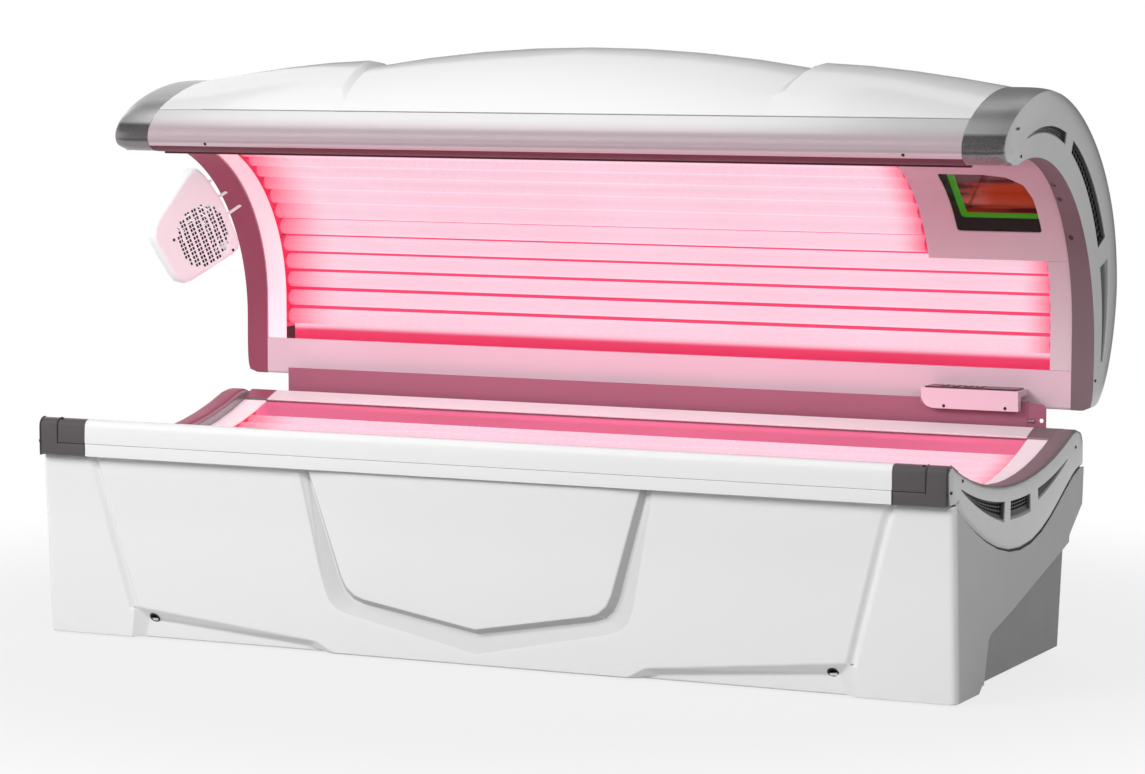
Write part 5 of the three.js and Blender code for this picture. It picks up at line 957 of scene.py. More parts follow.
@dataclass
class BenchBody(SubAssembly):
    """The bench's outer skins."""

    softenings: tuple[tuple[str, Softening], ...] = (
        ("rear_panel", PLATE),
        ("front_rail", Softening(0.0012, 2, 50.0)),
        ("front_trim", TRIM),
        ("left_corner_cap", Softening(0.006, 4, 50.0)),
        ("right_corner_cap", Softening(0.006, 4, 50.0)),
        ("left_rail_plug", TRIM),
        ("right_rail_plug", TRIM),
        ("rear_rail", Softening(0.001)),
        ("hinge_shroud", PLATE),
        ("cable_bracket", PLATE),
    )
    front: Softening = Softening(0.0035, 3, 9.0, 30.0)
    end_panel: Softening = Softening(0.0022, 3, 20.0)
    cover: Softening = Softening(0.0006, 2, 50.0, 46.0)
    shield_half: Span = (0.34, 0.45)
    shield_corner: float = 0.1
    shield_middle: float = 0.3
    wall_lean: Span = (-0.86, -0.2)
    ramp_lean: Span = (-0.985, -0.8)
    seal_size: Span = (0.003, 0.0024)
    seal_set_back: float = 0.0004
    seal_short: float = 0.001
    seal_rim: float = 0.2
    seal_dish: float = 0.1
    recess_reach: float = 0.003
    recess_lean: float = 0.3
    band_lean: float = 0.6
    band_low: float = 0.38
    gasket_span: Span = (-0.5, 0.3)
    gasket_width: float = 0.036
    gasket_depth: float = 0.0075
    gasket_wall: float = 0.001
    gasket_parts: int = 24
    probe_depth: float = 0.002
    probe_low: float = 0.2

    def build(self) -> None:
        """Softens every skin of the bench, and adds the gaskets and the rail's seal."""
        for node, softening in self.softenings:
            self.shop.skin(node, softening)
        front = (GLOSS_WHITE, SHIELD_SHADE, SHIELD_RAMP)
        self.shop.skin("front_panel", self.front, front, self._shield_finish)
        for end, band in (("left", LIT_BAND), ("right", INNER_BAND)):
            self.shop.skin(f"{end}_end_panel", self.end_panel, (PANEL_GREY, RECESS_GREY), self._is_recess)
            self.shop.skin(f"{end}_end_cover", self.cover, (SILVER, band), self._faces_up)
            self.shop.skin(f"{end}_bench_strip", THIN, (LIT_BENCH_STRIP,))
        self._gaskets()
        self._rail_seal()

    def _shield_finish(self, middle: Vector, normal: Vector) -> int:
        """The front panel's face number: 1 on the shield's steep wall, painted shade; 2 on the ramp round it,
        lighter painted shade; 0 elsewhere.
        """
        across, up = middle.x - PLAN.middle_x, middle.z - self.shield_middle
        low, high = self.shield_half
        if abs(across) >= (high if middle.z > self.shield_corner else low):
            return 0
        is_wall = across * normal.x + up * normal.z > 0.0
        steep, flat = self.wall_lean if is_wall else self.ramp_lean
        return (1 if is_wall else 2) if steep < normal.y < flat else 0

    def _is_recess(self, middle: Vector, normal: Vector) -> bool:
        """Whether a face lies in an end panel's pressed recess, which takes a darker painted shade of the same
        grey.
        """
        is_deep = abs(middle.x - PLAN.middle_x) < PLAN.half - self.recess_reach
        return is_deep and abs(normal.x) > self.recess_lean

    def _faces_up(self, middle: Vector, normal: Vector) -> bool:
        """Whether a face of an end cover looks up towards the centre of the lying surface's arc; these
        inner-band faces take painted shade, with a painted glow at the foot end.
        """
        towards = Vector((0, PLAN.lie_y - middle.y, PLAN.lie_z - middle.z)).normalized()
        return normal.dot(towards) > self.band_lean and middle.z > self.band_low

    def _gaskets(self) -> None:
        """A dark strip behind the joint between each end cover and its panel."""
        low, high = self.gasket_span
        face = PLAN.end_x(1)

        def layout(u: float, v: float) -> Vector:
            """Place of a point from its shares along and across the strip."""
            y = low + (high - low) * u
            joint, _ = self.shop.seat_on("right_end_cover", (face - self.probe_depth, y, self.probe_low), UP)
            return Vector((face - self.gasket_depth, y, joint.z + (v - 0.5) * self.gasket_width))

        strip = self.shop.sheet("right_cover_gasket", self.gasket_parts, 1, layout, self.gasket_wall)
        for piece in (strip, self.shop.mirrored(strip, "left_cover_gasket")):
            self.shop.finish(piece, "bench", Slot.RUBBER, finishes=(GASKET_GREY,))

    def _rail_seal(self) -> None:
        """A dark seal in the joint between the front rail and its trim strip."""
        low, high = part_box("front_trim")
        depth, height = self.seal_size
        middle = ((low[0] + high[0]) / 2, low[1] + self.seal_set_back + depth / 2, high[2])
        size = (high[0] - low[0] - self.seal_short, depth, height)
        shift = (0, self.seal_dish * depth, 0)
        seal = self.shop.lip("rail_seal", middle, size, -BACK, self.seal_rim * height, shift)
        self.shop.smooth(seal, 40.0)
        self.shop.finish(seal, "bench", Slot.RUBBER, finishes=(GASKET_GREY,))


@dataclass
class CanopyBody(SubAssembly):
    """The canopy's outer skins."""

    shell: Softening = Softening(0.0015, 2, 16.5, 16.5)
    cap: Softening = Softening(0.0008, 2, 60.0, 46.0, 2, 40.0)
    rail: Softening = Softening(0.002, 3, 60.0, 40.0)
    lower_rail: Softening = Softening(0.001, 2, 50.0)
    nose_y: float = -0.1
    nose_span: Span = (1.0, 1.22)
    nose_side: float = 0.45
    band_reach: float = 0.455
    band_front: float = -0.14
    band_lean: float = 0.3
    lip_place: Span = (-0.18, 1.2)
    lip_lean: float = 0.8
    seal_y: float = -0.172
    seal_probe: float = 1.0
    seal_size: Point = (1.994, 0.009, 0.005)
    seal_edge: float = 0.0008
    seal_rim: float = 0.2
    seal_shift: Span = (-0.15, -0.1)

    def build(self) -> None:
        """Softens every skin of the canopy, and adds the dark lip under the nose, a painted shade line."""
        for node in ("right_canopy_strip", "face_panel"):
            self.shop.skin(node, THIN)
        for end, band in (("left", LIT_BAND), ("right", INNER_BAND)):
            self.shop.skin(f"{end}_canopy_cap", self.cap, (SILVER, band, NOSE_SILVER), self._cap_finish)
        self.shop.skin("canopy_shell", self.shell, (GLOSS_WHITE, SHELL_LIP), self._is_lip)
        self.shop.skin("canopy_lower_rail", self.lower_rail, (ROSE_RAIL,))
        # The rail's downward faces take the dark maroon painted shade.
        pair = (PEARL_RAIL, SEAL_GREY)
        self.shop.skin("canopy_front_rail", self.rail, pair, lambda _, normal: normal.z < -0.5)
        self.shop.skin("left_canopy_strip", THIN, (LIT_STRIP,))
        self._seal()

    def _cap_finish(self, middle: Vector, normal: Vector) -> int:
        """An end cap's face number: 1 on its inner band, painted shade, with a painted pink glow at the foot
        end; 2 on its nose, painted highlight and shade; 0 elsewhere.
        """
        out = Vector((0, middle.y - PLAN.arc_y, max(middle.z - PLAN.arc_z, 0.0)))
        is_band = out.length < self.band_reach and middle.y > self.band_front
        if is_band and normal.dot(out) < -self.band_lean * out.length:
            return 1
        low, high = self.nose_span
        is_nose = middle.y < self.nose_y and low < middle.z < high and abs(normal.x) < self.nose_side
        return 2 if is_nose else 0

    def _is_lip(self, middle: Vector, normal: Vector) -> bool:
        """Whether a face is the shell's front edge, above the nose; it takes a grey painted shade line."""
        y, z = self.lip_place
        return middle.y < y and middle.z < z and normal.y < -self.lip_lean

    def _seal(self) -> None:
        """A rubber lip along the nose's underside, coloured as painted shade: a dark line for the nose's
        shadowed lower edge.
        """
        _, width, height = self.seal_size
        point, _ = self.shop.seat_on("canopy_front_rail", (PLAN.middle_x, self.seal_y, self.seal_probe), UP)
        middle = (PLAN.middle_x, self.seal_y, point.z - height / 2)
        shift = (0, self.seal_shift[0] * width, self.seal_shift[1] * height)
        seal = self.shop.lip("nose_seal", middle, self.seal_size, -UP, self.seal_rim * width, shift)
        self.shop.apply(seal, "BEVEL", width=self.seal_edge, segments=2, limit_method="ANGLE")
        self.shop.smooth(seal, 40.0)
        self.shop.finish(seal, "canopy", Slot.RUBBER, finishes=(SEAL_GREY,))


@dataclass
class ClearSheets(SubAssembly):
    """The clear sheets over both banks of lamps, and the reflectors behind them."""

    softening: Softening = Softening(0.0008, 2, 60.0, 40.0)
    wing_half: float = 1.0
    wing_wall: float = 0.0008
    wing_parts: int = 8
    wing_profile: tuple[Span, ...] = ((0.2225, 0.4005), (0.2445, 0.4515), (0.2475, 0.4575), (0.2655, 0.4645))

    def build(self) -> None:
        """Softens the sheets and reflectors, and adds the bench reflector's side wings."""
        for node in ("bench_acrylic", "canopy_acrylic", "bench_reflector"):
            self.shop.skin(node, self.softening)
        self.shop.skin("canopy_reflector", self.softening, (LIT_CANOPY_SHEET,))
        self._wing("rear_reflector_wing", self.wing_profile)
        mirrored = tuple((2 * PLAN.lie_y - y, z) for y, z in self.wing_profile[:2])
        self._wing("front_reflector_wing", mirrored)

    def _wing(self, name: str, profile: Sequence[Span]) -> None:
        """A bent strip of reflector beside the outermost lamp.

        Args:
            name: The strip's name.
            profile: Its bends from the lower edge, Y and Z.
        """

        def layout(u: float, v: float) -> Vector:
            """Place of a point from its shares along and across the strip."""
            y, z = profile[round(v * (len(profile) - 1))]
            return Vector((PLAN.middle_x + (2 * u - 1) * self.wing_half, y, z))

        wing = self.shop.sheet(name, self.wing_parts, len(profile) - 1, layout, self.wing_wall)
        self.shop.finish(wing, "bench", Slot.REFLECTOR, finishes=(LIT_WING,))


@dataclass
class LampBanks(SubAssembly):
    """Separate lamp tubes in the bench and the canopy, with their holder plates."""

    bench_count: int = 16
    long_count: int = 5
    short_count: int = 11
    bench_reach: float = 1.155
    canopy_reach: float = 0.428
    face_angle: float = 22.0
    short_end: float = 0.7183
    collar: float = 0.016
    collar_step: float = 0.0006
    pin_inset: float = 0.009
    pin_length: float = 0.004
    plate_margin: float = 0.02
    sides: int = 24

    def build(self) -> None:
        """Builds the tubes and the plates that hold them."""
        span = PLAN.lamp_span()
        short_span = (span[0], PLAN.middle_x + self.short_end)
        self._bank("bench_lamp", "bench", span, LONG_LAMP, self._bench_places())
        self._plates("bench_lamps", span)
        places = self._canopy_places()
        self._bank("long_lamp", "canopy", span, LONG_LAMP, places[: self.long_count])
        short_glow = LampGlow("short_lamp_glow", *short_span)
        self._bank("short_lamp", "canopy", short_span, short_glow, places[self.long_count :])
        self._plates("canopy_long_lamps", span)
        self._plates("canopy_short_lamps", short_span)

    def _tube(self, name: str, span: Span) -> bpy.types.Object:
        """A lamp along X about the origin, glass between two turned metal ends.

        Args:
            name: The lamp's name.
            span: X of its foot end and its head end.

        Returns:
            The lamp.
        """
        middle = sum(span) / 2
        glass = (span[1] - span[0]) / 2 - self.collar
        lamp = self.shop.start(
            Shape.CYLINDER, name, vertices=self.sides, radius=PLAN.lamp_radius, depth=2 * glass,
            location=(middle, 0, 0), rotation=(0, math.pi / 2, 0),
        )
        for side, _ in ENDS:
            with self.shop.editing(lamp):
                self.shop.pick_facing(lamp, side * ALONG)
                bpy.ops.mesh.inset(thickness=self.collar_step, depth=0)
                self.shop.extrude(x=side * self.collar)
                bpy.ops.mesh.inset(thickness=self.pin_inset, depth=0)
                self.shop.extrude(x=side * self.pin_length)
        for face in lamp.data.polygons:
            face.material_index = int(abs(face.center.x - middle) > glass - SLACK)
        self.shop.smooth(lamp, 35.0)
        return lamp

    def _bank(self, name: str, body: str, span: Span, glow: LampGlow, places: Sequence[Vector]) -> None:
        """Models a lamp and copies it to each place of a bank.

        Args:
            name: The lamps' name.
            body: The body that carries the bank.
            span: X of the lamps' ends.
            glow: The glass finish.
            places: Offsets of the lamps.
        """
        model = self._tube(name, span)
        for number, place in enumerate(places, start=1):
            lamp = self.shop.copy(model, f"{name}_{number:02d}", Matrix.Translation(place))
            # The lamps' metal ends take the holder plates' painted glow.
            self.shop.finish(lamp, body, Slot.LAMP_GLASS, finishes=(glow, LIT_PLATE))
        bpy.data.objects.remove(model)

    def _plates(self, node: str, span: Span) -> None:
        """The holder plates of a bank, its CAD node without the tubes, with a painted glow.

        Args:
            node: The bank's CAD node.
            span: X of the plates' inner faces.
        """
        low, high = span[0] + self.plate_margin, span[1] - self.plate_margin
        plates = self.shop.merged_copy(node, f"{node}_plates")
        with self.shop.editing(plates):
            self.shop.pick(plates, lambda middle, normal: low < middle.x < high and abs(normal.x) < 0.5)
            bpy.ops.mesh.delete(type="FACE")
        self.shop.smooth(plates, 30.0)
        self.shop.finish(plates, self.shop.body_of[node], Slot.REFLECTOR, (node,), (LIT_PLATE,))

    def _bench_places(self) -> list[Vector]:
        """Places of the bench's lamps, side by side on the lying surface's arc."""
        places = []
        for number in range(self.bench_count):
            turn = (number - (self.bench_count - 1) / 2) * PLAN.lamp_pitch / self.bench_reach
            y = PLAN.lie_y + self.bench_reach * math.sin(turn)
            z = PLAN.lie_z - self.bench_reach * math.cos(turn)
            places.append(Vector((0, y, z)))
        return places

    def _canopy_places(self) -> list[Vector]:
        """Places of the canopy's lamps, the long ones first and then those beside the face unit."""
        start = math.radians(self.face_angle) * self.canopy_reach - self.long_count * PLAN.lamp_pitch
        places = []
        for number in range(self.long_count + self.short_count):
            run = start + (number + 0.5) * PLAN.lamp_pitch
            turn = max(run / self.canopy_reach, 0.0)
            y = PLAN.arc_y + self.canopy_reach * math.cos(turn)
            z = PLAN.arc_z + self.canopy_reach * math.sin(turn) + min(run, 0.0)
            places.append(Vector((0, y, z)))
        return places


@dataclass
class FaceUnit(SubAssembly):
    """The facial lamp unit in the canopy's head end."""

    collar: Softening = Softening(0.0012, 3, 50.0)
    rim: float = 0.016
    rim_depth: float = 0.0008

    def build(self) -> None:
        """Softens the collar, gives the lamp tray its slot's material, and gives the filter its coloured rim.
        """
        self.shop.skin("face_collar", self.collar, (COLLAR_BLACK,))
        self.shop.repaint("face_lamp_unit")
        glass = self.shop.merged_copy("face_filter", "face_filter_glass")
        with self.shop.editing(glass):
            self.shop.pick(glass, lambda _, normal: normal.y < -0.5 and normal.z < -0.5)
            bpy.ops.mesh.inset(thickness=self.rim, depth=-self.rim_depth)
        # Rim faces take the filter edge's painted green glow.
        for face in glass.data.polygons:
            face.material_index = int(not face.select)
        self.shop.smooth(glass, 30.0)
        self.shop.finish(glass, "canopy", Slot.AMBER_GLASS, ("face_filter",), (AMBER_GLASS, FILTER_EDGE))


@dataclass
class ControlUnit(SubAssembly):
    """The control housing on the canopy's lower rail."""

    housing: Softening = Softening(0.0012, 2, 50.0)
    plate: Softening = Softening(0.0008, 2, 50.0)
    button: Softening = Softening(0.001, 3, 50.0)
    marks: tuple[tuple[str, int], ...] = (
        ("start_button", 3), ("stop_button", 4), ("fan_button", 6), ("face_button", 20)
    )
    mark_radius: float = 0.0036
    mark_height: float = 0.0005
    mark_rim: float = 0.32
    mark_dish: float = 0.8

    def build(self) -> None:
        """Softens the housing, its plate and the buttons, and puts a plain raised mark on each button."""
        self.shop.skin("control_housing", self.housing, (ROSE_RAIL,))
        self.shop.skin("control_plate", self.plate)
        for name, sides in self.marks:
            self.shop.skin(name, self.button, (BUTTON_DARK,))
            self._mark(name, sides)

    def _mark(self, button: str, sides: int) -> None:
        """A raised ring with so many sides on a button's top."""
        low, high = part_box(button)
        mark = self.shop.start(
            Shape.CYLINDER, f"{button}_mark", vertices=sides, radius=self.mark_radius, depth=self.mark_height,
            location=((low[0] + high[0]) / 2, (low[1] + high[1]) / 2, high[2] + self.mark_height / 2),
            rotation=(0, 0, math.pi / sides),
        )
        with self.shop.editing(mark):
            self.shop.pick_facing(mark, UP)
            bpy.ops.mesh.inset(thickness=self.mark_rim * self.mark_radius, depth=0)
            bpy.ops.mesh.inset(thickness=SLACK, depth=-self.mark_dish * self.mark_height)
        self.shop.smooth(mark, 30.0)
        self.shop.finish(mark, self.shop.body_of[button], Slot.MATT_WHITE)


@dataclass
class BodyFan(SubAssembly):
    """The body fan at the foot end."""

    housing: Softening = Softening(0.0006, 2, 50.0, 46.0)
    rotor: Softening = Softening(0.0, 0, 50.0, 40.0)
    middle: Point = (-1.0607, 0.17115, 0.87665)
    radius: float = 0.0817
    mouth_gap: float = 0.002
    mouth_depth: float = 0.001
    slot_reach: float = 0.0765
    wall: float = 0.0014
    lean: float = 24.0
    column_pitch: float = 0.021
    slot_width: float = 0.0066
    slot_divider: float = 0.0016
    row_pitch: float = 0.0105
    slot_tall: float = 0.0078
    columns: int = 7
    rows: int = 14
    disc_sides: int = 72
    margin: float = 1.1

    def build(self) -> None:
        """Softens the housing and wheel, and models the grille."""
        self.shop.skin("body_fan_housing", self.housing, (LIT_FAN, FAN_DARK), self._is_inside)
        self.shop.skin("body_fan_rotor", self.rotor, (FAN_DARK,))
        self._grille()

    def _is_inside(self, middle: Vector, facing: Vector) -> bool:
        """Whether a face of the housing lies behind the grille, and not on the outer back; these faces take a
        dark painted shade.
        """
        normal = Vector(PLAN.fan_normal)
        away = middle - Vector(self.middle)
        depth = away.dot(normal)
        is_within = (away - depth * normal).length < self.radius + self.mouth_gap
        return depth < -self.mouth_depth and is_within and facing.dot(normal) > -0.5

    def _grille(self) -> None:
        """A round plate with leaning columns of short paired slots."""
        pair = (self.slot_width, self.slot_divider, self.slot_width)
        across = self._lines(self.columns, self.column_pitch, pair)
        along = self._lines(self.rows, self.row_pitch, (self.slot_tall,))

        def layout(u: float, v: float) -> Vector:
            """Place of a point from its shares across and along the plate."""
            x, y = across[round(u * (len(across) - 1))], along[round(v * (len(along) - 1))]
            return Vector((x, y, self.wall / 2))

        grille = self.shop.grid("body_fan_grille_plate", len(across) - 1, len(along) - 1, layout)
        with self.shop.editing(grille):
            self.shop.pick(grille, lambda middle, _: self._is_slot(middle))
            bpy.ops.mesh.delete(type="FACE")
        self.shop.thicken(grille, self.wall)
        disc = self.shop.start(
            Shape.CYLINDER, "grille_disc", vertices=self.disc_sides, radius=self.radius, depth=4 * self.wall
        )
        self.shop.apply(grille, "BOOLEAN", object=disc, operation="INTERSECT", solver="EXACT")
        bpy.data.objects.remove(disc)
        self.shop.smooth(grille, 30.0)
        out = Vector(PLAN.fan_normal)
        turn = Matrix((UP.cross(out), UP, out)).transposed().to_4x4()
        lean = Matrix.Rotation(math.radians(self.lean), 4, "Z")
        grille.data.transform(Matrix.Translation(self.middle) @ turn @ lean)
        node = "body_fan_grille"
        self.shop.finish(grille, "canopy", self.shop.slot_of[node], (node,), (LIT_FAN,))

    def _lines(self, count: int, pitch: float, steps: Sequence[float]) -> list[float]:
        """Grid lines: the plate's edges, and the edges of every slot.

        Args:
            count: Slots, or groups of slots, side by side.
            pitch: Distance between their middles.
            steps: Widths within one group.

        Returns:
            The lines' places from the middle.
        """
        edge = self.margin * self.radius
        lines = [-edge]
        for number in range(count):
            place = (number - (count - 1) / 2) * pitch - sum(steps) / 2
            lines.append(place)
            for step in steps:
                place += step
                lines.append(place)
        return [*lines, edge]

    def _is_slot(self, middle: Vector) -> bool:
        """Whether a face of the flat grid is one of the slots."""
        wide, tall = self.columns * self.column_pitch / 2, self.rows * self.row_pitch / 2
        group = (middle.x + wide) % self.column_pitch - self.column_pitch / 2
        row = (middle.y + tall) % self.row_pitch - self.row_pitch / 2
        is_inside = abs(middle.x) < wide and abs(middle.y) < tall and middle.xy.length < self.slot_reach
        is_paired = abs(abs(group) - (self.slot_width + self.slot_divider) / 2) < self.slot_width / 4
        return is_inside and is_paired and abs(row) < self.slot_tall / 4


@dataclass(frozen=True)
class Vent:
    """A tapered slot: end angles in degrees, heights there in metres, and shares of its side ramps."""

    start: float
    stop: float
    tall_start: float
    tall_stop: float
    inner_ramp: float = 0.06
    outer_ramp: float = 0.06

    def tall(self, share: float) -> float:
        """Height of the slot at a share of its length."""
        return self.tall_start + (self.tall_stop - self.tall_start) * share


@dataclass(frozen=True)
class VentRow:
    """Tapered slots round one centre in both end faces of a body."""

    name: str
    body: str
    centre_y: float
    centre_z: float
    reach: float
    turn: float
    vents: tuple[Vent, ...]

    def point(self, x: float, angle: float, reach: float) -> Vector:
        """The point at an angle and distance from the row's centre."""
        turn = math.radians(self.turn + angle)
        return Vector((x, self.centre_y + reach * math.cos(turn), self.centre_z + reach * math.sin(turn)))


@dataclass
class VentScoops(SubAssembly):
    """Scooped grilles that fill the vent slots of the caps and covers."""

    rows: tuple[VentRow, ...] = (
        VentRow(
            "cap", "canopy", PLAN.arc_y, PLAN.arc_z, 0.451, 0.0,
            (
                Vent(102.0, 68.5, 0.002, 0.028, 0.3, 0.06),
                Vent(62.5, 23.5, 0.032, 0.057),
                Vent(17.5, -10.0, 0.058, 0.014, 0.04, 0.9),
            ),
        ),
        VentRow(
            "cover", "bench", PLAN.lie_y, PLAN.lie_z, 1.134, -90.0,
            (
                Vent(-19.0, -4.7, 0.003, 0.044, 0.05, 0.3),
                Vent(-2.8, 3.8, 0.040, 0.040, 0.05, 0.38),
                Vent(6.4, 17.0, 0.026, 0.003, 0.05, 0.4),
            ),
        ),
    )
    clear: float = 0.0003
    most_depth: float = 0.0075
    depth_share: float = 0.4
    wall: float = 0.0012
    cell: float = 0.017
    least_cells: int = 8
    rib: float = 0.0011
    pocket: float = 0.006
    pocket_floor: float = 0.8
    open_span: Span = (0.03, 0.97)
    open_tall: float = 0.011
    end_wall: float = 0.002
    ramp_rows: int = 4
    open_rows: int = 3

    def build(self) -> None:
        """Builds the grilles at the head end and mirrors them to the foot end."""
        for row in self.rows:
            for number, vent in enumerate(row.vents, start=1):
                scoop = self._scoop(row, vent, f"right_{row.name}_vent_{number}")
                other = self.shop.mirrored(scoop, f"left_{row.name}_vent_{number}")
                for piece in (scoop, other):
                    self.shop.finish(piece, row.body, Slot.SILVER_GREY, finishes=(VENT_SILVER, VENT_DARK))

    @staticmethod
    def _step(share: float) -> float:
        """A soft step from 0 to 1."""
        share = min(1.0, max(0.0, share))
        return share * share * (3 - 2 * share)

    @staticmethod
    def _shares(low: float, high: float, parts: int) -> list[float]:
        """Even shares from low up to, but without, high."""
        return [low + (high - low) * number / parts for number in range(parts)]

    def _scoop(self, row: VentRow, vent: Vent, name: str) -> bpy.types.Object:
        """One grille: a sunk ladder with ramps up to the face at its sides and ends.

        Args:
            row: The row that the slot belongs to.
            vent: The slot.
            name: The piece's name.

        Returns:
            The grille, at the head end.
        """
        face = PLAN.end_x(1)
        span = math.radians(abs(vent.stop - vent.start)) * row.reach
        edge, end = self.clear / span, self.end_wall / span
        last = 1 - edge - end
        cells = max(self.least_cells, round(span / self.cell))
        along = [edge, *self._shares(edge + end, last, cells), last, 1 - edge]
        across = [
            *self._shares(0.0, vent.inner_ramp, self.ramp_rows),
            *self._shares(vent.inner_ramp, 1 - vent.outer_ramp, self.open_rows),
            *self._shares(1 - vent.outer_ramp, 1.0, self.ramp_rows),
            1.0,
        ]

        def layout(u: float, v: float) -> Vector:
            """Place of a point from its shares along and across the slot."""
            u, v = along[round(u * (len(along) - 1))], across[round(v * (len(across) - 1))]
            sides = self._step(v / vent.inner_ramp) * self._step((1 - v) / vent.outer_ramp)
            ends = self._step((u - edge) / end) * self._step((1 - edge - u) / end)
            tall = vent.tall(u)
            depth = min(self.most_depth, self.depth_share * tall) * sides * ends
            reach = row.reach + self.clear + (tall - 2 * self.clear) * v
            return row.point(face - self.clear - depth, vent.start + (vent.stop - vent.start) * u, reach)

        scoop = self.shop.grid(name, len(along) - 1, len(across) - 1, layout)
        with self.shop.editing(scoop):
            if sum(face.normal.x for face in scoop.data.polygons) < 0:
                bpy.ops.mesh.select_all(action="SELECT")
                bpy.ops.mesh.flip_normals()
                bpy.ops.mesh.select_all(action="DESELECT")
            self._open(scoop, row, vent)
        self.shop.thicken(scoop, self.wall)
        self.shop.smooth(scoop, 40.0)
        return scoop

    def _open(self, scoop: bpy.types.Object, row: VentRow, vent: Vent) -> None:
        """Presses pockets into the wide cells of a grille's sunk floor, in edit mode; their floors take a
        near-black painted shade.
        """
        first, last = self.open_span

        def is_open(middle: Vector, _: Vector) -> bool:
            """Whether a face lies on the sunk floor, where the slot is wide enough."""
            y, z = middle.y - row.centre_y, middle.z - row.centre_z
            angle = (math.degrees(math.atan2(z, y)) - row.turn + 180) % 360 - 180
            along = (angle - vent.start) / (vent.stop - vent.start)
            tall = vent.tall(along)
            across = (math.hypot(y, z) - row.reach) / max(tall, SLACK)
            is_floor = vent.inner_ramp < across < 1 - vent.outer_ramp and first < along < last
            return is_floor and tall > self.open_tall

        self.shop.pick(scoop, is_open)
        bpy.ops.mesh.inset(thickness=self.rib, depth=0, use_individual=True)
        self.shop.extrude(x=-self.pocket)
        bpy.ops.mesh.select_more()
        bpy.ops.object.mode_set(mode="OBJECT")
        floor = min(vertex.co.x for vertex in scoop.data.vertices) + self.pocket_floor * self.pocket
        for face in scoop.data.polygons:
            face.material_index = int(face.center.x < floor and face.select)
        bpy.ops.object.mode_set(mode="EDIT")


@dataclass(frozen=True)
class Seat:
    """Where a fitting sits: a line that meets a CAD node."""

    name: str
    node: str
    start: Point
    heading: Point


